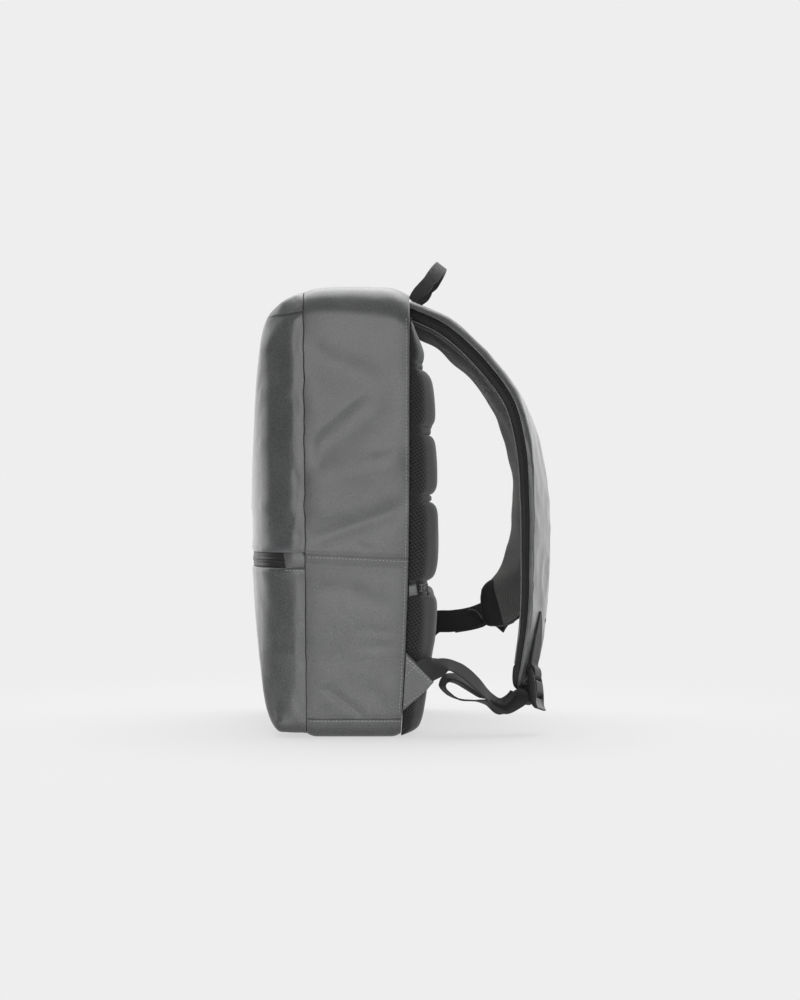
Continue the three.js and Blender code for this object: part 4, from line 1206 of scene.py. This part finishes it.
def curve_point(points, t):
    """A point on the smooth curve through a list of points, as a strap lies between its stations."""
    place = t * (len(points) - 1)
    index = min(int(place), len(points) - 2)
    mix = place - index
    p1, p2 = points[index], points[index + 1]
    p0 = points[index - 1] if index else 2 * p1 - p2
    p3 = points[index + 2] if index + 2 < len(points) else 2 * p2 - p1
    gap1 = (p2 - p1).length ** 0.5
    gap0 = (p1 - p0).length ** 0.5 or gap1
    gap2 = (p3 - p2).length ** 0.5 or gap1
    slope1 = ((p1 - p0) / gap0 - (p2 - p0) / (gap0 + gap1) + (p2 - p1) / gap1) * gap1
    slope2 = ((p2 - p1) / gap1 - (p3 - p1) / (gap1 + gap2) + (p3 - p2) / gap2) * gap1
    a = 2 * p1 - 2 * p2 + slope1 + slope2
    b = -3 * p1 + 3 * p2 - 2 * slope1 - slope2
    return ((a * mix + b) * mix + slope1) * mix + p1


def curve_way(points, t):
    return (curve_point(points, min(1, t + 1e-4)) - curve_point(points, max(0, t - 1e-4))).normalized()


def rolled(way, roll):
    """Width direction of a strap: level across the bag, then rolled about the strap's own run."""
    across = Vector((1, 0, 0))
    across = (across - way * across.dot(way)).normalized()
    return Matrix.Rotation(math.radians(roll), 3, way) @ across


def row_points(rows):
    return [Vector((row["x"], row["y"], row["z"])) for row in rows]


def strap_rows(side):
    """The stations of a strap from its upper end, mirrored for the left one."""
    way = 1 if side == "right" else -1
    key = "roll" if side == "right" else "left_roll"
    rows = STRAP_UPPER_ROWS + STRAP_LOWER_ROWS[side]
    return [{**row, "x": way * row["x"], "roll": way * row.get(key, row["roll"])} for row in rows]


def mixed_row(rows, key, t):
    """A column of a table at a share of its length, straight between the rows."""
    place = t * (len(rows) - 1)
    index = min(int(place), len(rows) - 2)
    mix = place - index
    return rows[index][key] * (1 - mix) + rows[index + 1][key] * mix


def strap_station(rows, t):
    """Centre, width direction, outward direction, width and thickness of a strap at a share of its run."""
    points = row_points(rows)
    way = curve_way(points, t)
    across = rolled(way, mixed_row(rows, "roll", t))
    width, thick = mixed_row(rows, "width", t), mixed_row(rows, "thick", t)
    return curve_point(points, t), across, across.cross(way), width, thick


def section_point(section, u, closed):
    """A point of a cross-section, on a smooth curve through its corners."""
    count = len(section) if closed else len(section) - 1
    place = u * count
    index = min(int(place), count - 1)
    mix = place - index
    if closed:
        picks = [Vector(section[(index + step) % count]) for step in (-1, 0, 1, 2)]
    else:
        picks = [Vector(section[max(0, min(count, index + step))]) for step in (-1, 0, 1, 2)]
    p0, p1, p2, p3 = picks
    square = 2 * p0 - 5 * p1 + 4 * p2 - p3
    cube = 3 * p1 - 3 * p2 + p3 - p0
    return 0.5 * (2 * p1 + (p2 - p0) * mix + square * mix ** 2 + cube * mix ** 3)


def capped(piece):
    """Welds the long seam of a lofted piece and closes its two ends."""
    edit(
        piece,
        lambda: bpy.ops.mesh.remove_doubles(threshold=0.00002),
        lambda: bpy.ops.mesh.fill_holes(sides=0),
        lambda: bpy.ops.mesh.normals_make_consistent(inside=False),
    )
    bpy.ops.object.shade_smooth()


EDGE_BLACK = (0.034, 0.034, 0.034, 1)
# The wearer's side of each strap pad is coloured paler grey than its black edges: painted sheen for the light
# it takes from the pale floor and backdrop, over the real closer knit.
INNER_SHEEN_GREY = (0.13, 0.1285, 0.126, 1)
KNIT_AND_SHEEN_FROM = {"right": 0.54, "left": 0.4}
KNIT_AND_SHEEN_TO = {"right": 1.1, "left": 0.9}
CAP_FADE = 0.008
PAD_SLACK = {"right": 1.2, "left": 3.4}
PAD_WAVES = (34, 30, 30)
PAD_END = {"wider": 0.04, "deeper": 0.3, "narrowing": 0.75, "thinning": 0.7}
COVER_EASE = 2.4
COVER_LIFT = {"top": 0.08, "lower": 0.06}
COVER_LOWER = {"from": 0.3, "fade": 0.3}
COVER_PULL = 0.9
COVER_TAPER = 0.8
COVER_STAND = 1.1
COVER_WALL = 1
CREASE = {"rise": 1.5, "level": 0.3, "sizes": (26, 34, 30), "fine_rise": 0.3, "fine_size": 9}
# The pale grey of the piping is painted highlight: it stands for the bright line where the binding along each
# pad's lower edge catches the light.
PIPING_HIGHLIGHT_GREY = (0.11, 0.11, 0.11)
PIPING = {"across": 0.495, "right": -0.45, "left": -0.15, "radius": 0.7}
piping_highlight_cloth = coated("painted_highlight_piping", PIPING_HIGHLIGHT_GREY, 0.4)


def cover_crease(x, y, z):
    """Slack of the strap's cloth: shallow bulges that meet in creases."""
    slack = abs(waves((x, y, z), CREASE["sizes"]))
    fine = noise.noise(Vector((x, y, z)) / CREASE["fine_size"])
    return CREASE["rise"] * (CREASE["level"] - slack) + CREASE["fine_rise"] * fine


for side in ("right", "left"):
    rows = strap_rows(side)
    stations = [strap_station(rows, step / STRAP_STEPS) for step in range(STRAP_STEPS + 1)]

    def pad_place(u, v):
        centre, across, out, width, thick = stations[round(v * STRAP_STEPS)]
        a, b = section_point(PAD_SECTION, u, True)
        end = edge_roll(min(1, (1 - v) / END_SHARE), 1)
        swell = soft_step((v - 1 + CAP_SHARE) / CAP_FADE)
        wide = width * (1 + PAD_END["wider"] * swell) * (1 - PAD_END["narrowing"] * end)
        deep = thick * (1 + PAD_END["deeper"] * swell * (b < 0)) * (1 - PAD_END["thinning"] * end)
        point = centre + across * a * wide + out * b * deep
        give = waves(point, PAD_WAVES)
        return point - out * PAD_SLACK[side] * give * soft_step((0.1 - b) / 0.4)

    pad = laid_panel(f"shoulder_pad_{side}_mesh", 60, STRAP_STEPS, pad_place)
    around = max(spot.uv.x for spot in pad.data.uv_layers.active.data)
    steps = zip(stations, stations[1 : round((1 - CAP_SHARE) * STRAP_STEPS)])
    mesh = meshed(
        f"shoulder_pad_{side}_black_mesh",
        EDGE_BLACK,
        INNER_SHEEN_GREY,
        pitch=0.0042,
        depth=0.0006,
        face_from=KNIT_AND_SHEEN_FROM[side] * around,
        face_to=KNIT_AND_SHEEN_TO[side] * around,
        nap=0.05,
        face_knit=0.5,
        end_from=sum((ahead[0] - here[0]).length for here, ahead in steps) * MM,
    )
    capped(pad)
    sewn(pad, mesh, "air_mesh", f"shoulder_pad_{side}")

    def cover_place(u, v):
        centre, across, out, width, thick = stations[round(v * STRAP_STEPS)]
        a, b = section_point(COVER_SECTION, u, False)
        edge_b = COVER_HALF[0][1]
        low = soft_step((v - COVER_LOWER["from"]) / COVER_LOWER["fade"])
        a += low * soft_step((0.6 - b) / 0.05) * COVER_PULL * (math.copysign(0.5, a) - a)
        b += (COVER_LIFT["top"] + COVER_LIFT["lower"] * low) * (1 - (b - edge_b) / (COVER_CREST - edge_b))
        end = edge_roll(min(1, (1 - v) / END_SHARE), 1)
        taper = 1 - COVER_TAPER * end
        reach = b * thick * taper + COVER_STAND
        return centre + across * a * (width + COVER_EASE) * taper + out * reach

    cover = laid_panel(f"shoulder_cover_{side}_cloth", 60, STRAP_STEPS, cover_place)
    centre_line = [station[0] * MM for station in stations]
    turned_out(cover, lambda point: point - min(centre_line, key=lambda spot: (spot - point).length))
    pressed(cover, cover_crease)
    thickened(cover, COVER_WALL)
    sewn(cover, coated_cloth, "coated_cloth", f"shoulder_cover_{side}")

    def piping_place(u, v):
        centre, across, out, width, thick = stations[round(v * (1 - CAP_SHARE) * STRAP_STEPS)]
        turn = 2 * math.pi * u
        middle = centre + across * edge * PIPING["across"] * width + out * PIPING[side] * thick
        return middle + (across * math.cos(turn) + out * math.sin(turn)) * PIPING["radius"]

    edge = 1 if side == "right" else -1
    # Painted highlight: a pale tube laid along the pad's lower edge.
    piping = laid_panel(f"shoulder_highlight_piping_{side}", 6, 150, piping_place)
    capped(piping)
    sewn(piping, piping_highlight_cloth, "coated_cloth")

# Webbing: black woven polyester tape, 25 mm wide. A sewn loop holds each buckle on its strap, and the
# adjusting tape runs from the anchor tab through the buckle to a free tail.
WEB_WIDTH = 25
WEB_THICKNESS = 1.6
PICK_PITCH = 0.0013
CORD_PITCH = 0.0022
LOOP_ROWS = table(
    "at lift width",
    (-0.15, -1, 3), (-0.12, -0.4, 15), (-0.08, 0, 24), (-0.03, 0.6, 25), (-0.01, 1.5, 25),
)
LOOP_TURN = table(
    "up out",
    (20.5, 3.4), (14, 3.4), (11.8, 2), (11, 0), (11.8, -2), (14, -3.4), (20, -3.4), (25, -3),
)
LOOP_END = {"right": 0.92, "left": 0.82}
LOCK_TILT = {"right": 20, "left": -7}
LOCK_LENGTH = 42
LOCK_FROM_LOOP = 0.9
LOOP_STACK = 4.1
LOOP_LIFT = 1.8
LOCK_PATH = table(
    "up out",
    (4, -11), (6.5, -4.4), (8.6, 0), (7.5, 3.2), (2, 3.9), (-3.5, 3.2), (-5.8, 0), (-8, -4.4),
    (-12, -9),
)
WEB_ROWS = {
    "right": table(
        "x y z roll",
        (146.2, 68, 64.6, 90), (146.2, 75, 68.5, 85), (145, 82, 70.4, 56), (142, 89, 72.6, 26),
        (139, 96, 72, 21), (137, 107, 66.9, 24), (135.5, 115.5, 60.5, 24), (133, 124.6, 51.7, 22),
        (131, 132.6, 43, 16), (129, 139, 36, 20), (126, 150, 29.6, 33), (122, 160, 33.2, 40),
        (117, 168.5, 40, 51),
    ),
    "left": table(
        "x y z roll",
        (-146.2, 68, 64.6, 90), (-146.2, 70.5, 69, 90), (-144, 74, 86, 88), (-137, 86, 98.5, 82),
        (-128, 104, 100.5, 78), (-119, 121, 103.5, 74), (-113, 131, 107, 66),
    ),
}
TAIL_ROWS = {
    "right": table(
        "x y z roll",
        (114.6, 166, 36.6, 48), (122.6, 150, 26.8, 33), (125, 136, 32.4, 18), (123, 122, 34.6, 5),
        (122, 106.8, 35.8, 4), (122, 95.7, 41.3, 10), (122, 89, 49.4, 14), (122, 92.6, 57, 14),
        (122, 101.8, 58.6, 10), (121, 110.9, 54, 7), (121, 121, 46.6, 6), (121, 128.5, 41, 6),
        (121, 131.6, 37.8, 6), (121, 128, 38, 6), (121, 121, 42, 7), (121, 112, 48, 9),
        (121, 104.5, 52.6, 10), (121, 97.5, 55, 11), (121, 93.5, 54.6, 12),
    ),
    "left": table(
        "x y z roll",
        (-126, 122, 101.5, 75), (-134, 106, 98.5, 78),
    ),
}
WEB_FACE = [
    (-0.5, 0.1), (-0.485, 0.4), (-0.46, 0.5), (-0.25, 0.5), (0, 0.5), (0.25, 0.5), (0.46, 0.5),
    (0.485, 0.4), (0.5, 0.1),
]
WEB_SECTION = WEB_FACE + [(-a, -b) for a, b in WEB_FACE]

ribs, given, result = new_group("webbing_ribs", {"Cut": "Vector"}, {"Height": "Float"})
axes = join(ribs, "ShaderNodeSeparateXYZ", {0: given["Cut"]}).outputs
pick = calc(ribs, "SINE", calc(ribs, "MULTIPLY", axes["Y"], 2 * math.pi / PICK_PITCH))
cord = calc(ribs, "SINE", calc(ribs, "MULTIPLY", axes["X"], 2 * math.pi / CORD_PITCH))
crossed = calc(ribs, "MULTIPLY", pick, cord)
relief = calc(ribs, "MULTIPLY_ADD", crossed, 0.35, calc(ribs, "MULTIPLY", pick, 0.5))
ribs.links.new(relief, result["Height"])


def webbed(name, colour):
    """Woven polyester tape: crosswise ribs with painted shade in their grooves and painted highlight on their
    crests, a dry surface and a faint nap.
    """
    material, tree, shader = new_material(
        name, Roughness=0.62, Specular_IOR_Level=0.2, Sheen_Weight=0.14, Sheen_Roughness=0.45
    )
    shader.inputs["Sheen Tint"].default_value = (0.5, 0.5, 0.52, 1)
    height = grouped(tree, ribs, {"Cut": place_of(tree, "UV")})
    # Painted shade and highlight: the base colour follows the rib height, darker in the grooves and lighter
    # on the crests.
    lit = calc(tree, "MULTIPLY_ADD", height, 0.25, 1)
    tinted(tree, shader, colour, calc(tree, "MULTIPLY", mottled(tree, 0.5), lit))
    embossed(tree, shader, height, 0.00025, 0.8)
    return material


web_black = webbed("black_webbing", (0.023, 0.023, 0.0235))


def ribbon(name, rows, section, steps):
    """A tape lofted along rows that each have a point, a width direction, a width and a thickness."""
    points = [row["point"] for row in rows]

    def place(u, v):
        way = curve_way(points, v)
        index = min(int(v * (len(rows) - 1)), len(rows) - 2)
        mix = v * (len(rows) - 1) - index
        across = rows[index]["across"].lerp(rows[index + 1]["across"], mix)
        across = (across - way * across.dot(way)).normalized()
        a, b = section_point(section, u, True)
        wide = across * a * mixed_row(rows, "width", v)
        return curve_point(points, v) + wide + across.cross(way) * b * rows[index]["thick"]

    tape = laid_panel(name, 2 * len(section), steps, place)
    capped(tape)
    return tape


def tape_row(point, across, width=WEB_WIDTH, thick=WEB_THICKNESS):
    return {"point": point, "across": across, "width": width, "thick": thick}


def web_rows(rows):
    points = row_points(rows)
    ends = len(rows) - 1
    return [
        tape_row(points[index], rolled(curve_way(points, index / ends), row["roll"]))
        for index, row in enumerate(rows)
    ]


def lock_frame(side):
    """Centre and directions of the buckle that hangs in line with the end of its loop."""
    rows = strap_rows(side)
    points = row_points(rows)
    centre, across, out, _, thick = strap_station(rows, LOOP_END[side])
    end = centre + out * (thick / 2 + LOOP_STACK + LOOP_LIFT)
    up = Matrix.Rotation(math.radians(LOCK_TILT[side]), 3, across) @ -curve_way(points, LOOP_END[side])
    return end - up * (LOCK_LENGTH / 2 + LOCK_FROM_LOOP), across, up, across.cross(-up)


for side in ("right", "left"):
    rows = strap_rows(side)
    centre, across, up, out = lock_frame(side)
    loop = []
    for row in LOOP_ROWS:
        spot, level, away, _, thick = strap_station(rows, LOOP_END[side] + row["at"])
        point = spot + away * (thick / 2 + LOOP_STACK + row["lift"])
        loop.append(tape_row(point, level, row["width"]))
    for row in LOOP_TURN:
        loop.append(tape_row(centre + up * row["up"] + out * row["out"], across))
    tape = ribbon(f"buckle_loop_{side}_tape", loop, WEB_SECTION, 8 * len(loop))
    sewn(tape, web_black, "webbing", f"buckle_loop_{side}")

    through = [
        tape_row(centre + up * row["up"] + out * row["out"], across)
        for row in (LOCK_PATH if side == "right" else LOCK_PATH[1:-1])
    ]
    path = web_rows(WEB_ROWS[side]) + through + web_rows(TAIL_ROWS[side])
    tape = ribbon(f"webbing_{side}_tape", path, WEB_SECTION, 7 * len(path))
    sewn(tape, web_black, "webbing", f"webbing_{side}")

# Ladder locks: moulded black plastic buckles, a rounded frame with two slots, a gripping middle bar
# and a lip at the lower end that is lifted to slacken the webbing.
LOCK_COLUMNS = (-16.5, -12.7, 12.7, 16.5)
LOCK_ROWS = (-21, -9, -3, 6.5, 13, 20.5)
LOCK_SLOT_ROWS = (1, 3)
LOCK_THICKNESS = 4.5
LOCK_CORNER = 1.3
LOCK_LIP = {"from": 12, "length": 9, "flare": 3.2}
LOCK_RAIL = {"from": 11, "width": 2.5, "half": 19, "rise": 0.8}

buckle_plastic, tree, shader = new_material("black_buckle_plastic", Specular_IOR_Level=0.22)
shade = dyed(tree, shader, (0.011, 0.011, 0.0115), 0.4)
tree.links.new(calc(tree, "MULTIPLY", shade, 0.38), shader.inputs["Roughness"])
fine = join(tree, "ShaderNodeTexNoise", {"Vector": place_of(tree, "Object"), "Scale": 1800, "Detail": 2})
embossed(tree, shader, fine.outputs[0], 0.00006, 0.5)

for side in ("right", "left"):
    lock = laid_panel(
        f"ladder_lock_{side}_plastic",
        len(LOCK_COLUMNS) - 1,
        len(LOCK_ROWS) - 1,
        lambda u, v: (LOCK_COLUMNS[round(u * 3)], LOCK_ROWS[round(v * 5)], 0),
    )

    def open_slots():
        bpy.ops.mesh.select_all(action="DESELECT")
        bpy.ops.object.mode_set(mode="OBJECT")
        for face in lock.data.polygons:
            x, y, _ = face.center / MM
            in_slot = any(LOCK_ROWS[row] < y < LOCK_ROWS[row + 1] for row in LOCK_SLOT_ROWS)
            if in_slot and abs(x) < LOCK_COLUMNS[2]:
                face.select = True
        bpy.ops.object.mode_set(mode="EDIT")
        bpy.ops.mesh.delete(type="FACE")

    edit(lock, open_slots)
    wall = lock.modifiers.new("wall", "SOLIDIFY")
    wall.thickness = LOCK_THICKNESS * MM
    wall.offset = 0
    corner = lock.modifiers.new("corner", "BEVEL")
    corner.width = LOCK_CORNER * MM
    corner.segments = 3
    corner.limit_method = "ANGLE"
    smooth = lock.modifiers.new("smooth", "SUBSURF")
    smooth.levels = smooth.render_levels = 2
    picked(lock)
    for modifier in ("wall", "corner", "smooth"):
        bpy.ops.object.modifier_apply(modifier=modifier)
    bpy.ops.object.shade_smooth()
    centre, across, up, out = lock_frame(side)
    for point in lock.data.vertices:
        x, y, z = point.co / MM
        rail = held((abs(x) - LOCK_RAIL["from"]) / LOCK_RAIL["width"])
        z *= 1 + LOCK_RAIL["rise"] * rail * max(0, 1 - (y / LOCK_RAIL["half"]) ** 2)
        flare = LOCK_LIP["flare"] * max(0, (-y - LOCK_LIP["from"]) / LOCK_LIP["length"]) ** 2
        point.co = (centre + across * x + up * y + out * (z + flare)) * MM
    edit(lock, lambda: bpy.ops.mesh.normals_make_consistent(inside=False))
    sewn(lock, buckle_plastic, "buckle_plastic", f"ladder_lock_{side}")

# Anchor tabs: triangles of the coated cloth, folded double over the end of the webbing and sewn to the
# rear edge of each side panel.
TAB_X = 144.8
TAB_THICKNESS = 2.8
TAB_TIP = [(72, 47), (80, 56)]
TAB_LOW = 26
TAB_HIGH = 86
TAB_WIDTH = 40
TAB_STAND = 0.4
TAB_PUFF = {"height": 0.5, "reach": 6, "edge": 1.2}


def tab_place(u, v):
    """A place on the triangle, from its sewn root to its blunt tip and from its lower edge to its upper."""
    root_z = TAB_LOW + (TAB_HIGH - TAB_LOW) * v
    root_y = rear_y(root_z) + SEAM_GAP
    (low_y, low_z), (high_y, high_z) = TAB_TIP
    tip_y = low_y + (high_y - low_y) * v
    tip_z = low_z + (high_z - low_z) * v
    return root_y + (tip_y - root_y) * u, root_z + (tip_z - root_z) * u


def tab_puff(v):
    """How far the doubled cloth swells, at a share of the way from its lower edge to its upper."""
    return TAB_PUFF["height"] * min(1, min(v, 1 - v) * TAB_WIDTH / TAB_PUFF["reach"])


for side, way in SIDES:

    def tab_point(u, v):
        y, z = tab_place(u, v)
        puff = tab_puff(v) - edge_roll(min(v, 1 - v) * TAB_WIDTH, TAB_PUFF["edge"])
        return way * (TAB_X + TAB_THICKNESS + TAB_STAND + puff), y, z

    tab = laid_panel(f"anchor_tab_{side}_cloth", 30, 30, tab_point)
    turned_out(tab, lambda point: Vector((point.x, 0, 0)))
    thickened(tab, TAB_THICKNESS)
    sewn(tab, coated_cloth, "coated_cloth", f"anchor_tab_{side}")

# Carry handle: dark grey woven tape folded lengthwise. Both ends are sewn into the top rear seam, and
# the arch leans back.
HANDLE_ROOT = (59.2, 446.5)
HANDLE_LEAN = 38
HANDLE_ROWS = table(
    "x rise shift width",
    (48, 0, -1.5, 7), (48.2, 6, -1.6, 10), (48, 12, -0.7, 13), (47.5, 19, 0.6, 14.4),
    (46.5, 24, 0.5, 13.6), (45, 28, 0, 12), (42, 34, 0.4, 14.6), (35, 41.5, 0, 14.6),
    (22, 48.5, -0.6, 14), (0, 51.5, -1, 13),
)
HANDLE_THICKNESS = 3.4

handle_grey = webbed("grey_handle_tape", (0.036, 0.036, 0.037))
lean = math.radians(HANDLE_LEAN)
rising = Vector((0, math.sin(lean), math.cos(lean)))
across = Vector((0, math.cos(lean), -math.sin(lean)))
arch = []
for row in HANDLE_ROWS + [{**row, "x": -row["x"]} for row in reversed(HANDLE_ROWS[:-1])]:
    point = Vector((row["x"], *HANDLE_ROOT)) + rising * row["rise"] + across * row["shift"]
    arch.append(tape_row(point, across, row["width"], HANDLE_THICKNESS))
handle = ribbon("carry_handle_tape", arch, WEB_SECTION, 110)
sewn(handle, handle_grey, "handle_tape", "carry_handle")

# Topstitching: pale grey thread, a little under three stitches to the centimetre. It runs
# along the folded edges of the side cloth, round the anchor tabs and below the front zip.
STITCH_LENGTH = 2.4
STITCH_GAP = 1.3
THREAD = 0.36

bpy.ops.object.select_all(action="DESELECT")
bpy.ops.mesh.primitive_uv_sphere_add(segments=6, ring_count=5, radius=1)
stitch = bpy.context.object
stitch_points = [Vector((point.co.z, point.co.x, point.co.y)) for point in stitch.data.vertices]
stitch_faces = [tuple(face.vertices) for face in stitch.data.polygons]
bpy.data.objects.remove(stitch)

thread_material, tree, shader = new_material("pale_thread", Roughness=0.6, Specular_IOR_Level=0.4)
dyed(tree, shader, (0.27, 0.275, 0.28), 0.3)


def stitched(name, lines):
    """Rows of stitches, each row a list of (point, outward) pairs in millimetres along its seam."""
    points, faces = [], []
    for line in lines:
        reach, place = 0.0, STITCH_GAP
        for (here, out), (ahead, _) in zip(line, line[1:]):
            here, ahead, out = Vector(here), Vector(ahead), Vector(out).normalized()
            step = (ahead - here).length
            while step and place + STITCH_LENGTH / 2 < reach + step:
                along = (ahead - here) / step
                centre = here + along * (place + STITCH_LENGTH / 2 - reach)
                side = along.cross(out)
                start = len(points)
                for a, b, c in stitch_points:
                    spot = centre + along * a * STITCH_LENGTH / 2 + side * b * THREAD + out * c * THREAD
                    points.append(spot * MM)
                faces += [tuple(start + corner for corner in face) for face in stitch_faces]
                place += STITCH_LENGTH + STITCH_GAP
            reach += step
    mesh = bpy.data.meshes.new(name)
    mesh.from_pydata(points, [], faces)
    thread = bpy.data.objects.new(name, mesh)
    scene.collection.objects.link(thread)
    edit(thread, lambda: bpy.ops.mesh.normals_make_consistent(inside=False))
    bpy.ops.object.shade_smooth()
    sewn(thread, thread_material, "coated_cloth")


REAR_STITCH = 3.2
REAR_STITCH_LOW = 24
REAR_STEPS = 199
ACROSS_STEPS = 59
ACROSS_INSET = 0.02
POCKET_STITCH = 2.8
HEM_STITCH = 2.2
THREAD_PROUD = 0.1
side_lines = []
for way in (1, -1):
    rear, mouth, hem = [], [], []
    for step in range(REAR_STEPS + 1):
        z = REAR_STITCH_LOW + (BODY["top"] - BODY["top_radius"] - REAR_STITCH_LOW) * step / REAR_STEPS
        share = 1 - REAR_STITCH / GUSSET_WIDTH
        x = side_half(share) + THREAD_PROUD
        rear.append(((way * x, strip_y(share, z), z), (way, 0, 0)))
    for step in range(ACROSS_STEPS + 1):
        share = ACROSS_INSET + (1 - 2 * ACROSS_INSET) * step / ACROSS_STEPS
        x = side_half(share) + HEM_PROUD * 0.7 + THREAD_PROUD
        z = pocket_seam(strip_y(share, POCKET_SEAM_Z)) - POCKET_STITCH
        mouth.append(((way * x, strip_y(share, z), z), (way, 0, 0)))
        z = BASE_SEAM_Z - HEM_STITCH
        hem.append(((way * x, strip_y(share, z), z), (way, 0, 0)))
    side_lines += [rear, mouth, hem]
stitched("side_stitching", side_lines)

TAB_ROWS = (0.1, 0.84, 0.92)
TAB_ROW_STAND = 0.5
TAB_STEPS = 40
TAB_BAR = {"from": (62, 72), "back": 11, "down": 10, "stand": 1}
BAR_STEPS = 20
tab_lines = []
for way in (1, -1):
    for v in TAB_ROWS:
        x = way * (TAB_X + TAB_THICKNESS + TAB_ROW_STAND + tab_puff(v))
        line = [tab_place(step / TAB_STEPS, v) for step in range(TAB_STEPS + 1)]
        tab_lines.append([((x, y, z), (way, 0, 0)) for y, z in line])
    x = way * (TAB_X + TAB_THICKNESS + TAB_BAR["stand"])
    y0, z0 = TAB_BAR["from"]
    line = [
        (y0 - TAB_BAR["back"] * step / BAR_STEPS, z0 - TAB_BAR["down"] * step / BAR_STEPS)
        for step in range(BAR_STEPS + 1)
    ]
    tab_lines.append([((x, y, z), (way, 0, 0)) for y, z in line])
stitched("tab_stitching", tab_lines)

MOUTH_STITCH = {"below": 3.2, "from": 1, "run": 19, "steps": 23}
OUTSIDE_X = 200
lower_front = bpy.data.objects["front_panel_lower_cloth"]
mouth_lines = []
for way in (1, -1):
    line = []
    for step in range(MOUTH_STITCH["steps"] + 1):
        y = GARAGE_END_Y + MOUTH_STITCH["from"] + MOUTH_STITCH["run"] * step / MOUTH_STITCH["steps"]
        start = Vector((way * OUTSIDE_X, y, ZIP_BOTTOM_Z - MOUTH_STITCH["below"])) * MM
        _, spot, out, _ = lower_front.ray_cast(start, Vector((-way, 0, 0)))
        line.append((spot / MM + out * THREAD_PROUD, out))
    mouth_lines.append(line)
stitched("front_mouth_stitching", mouth_lines)
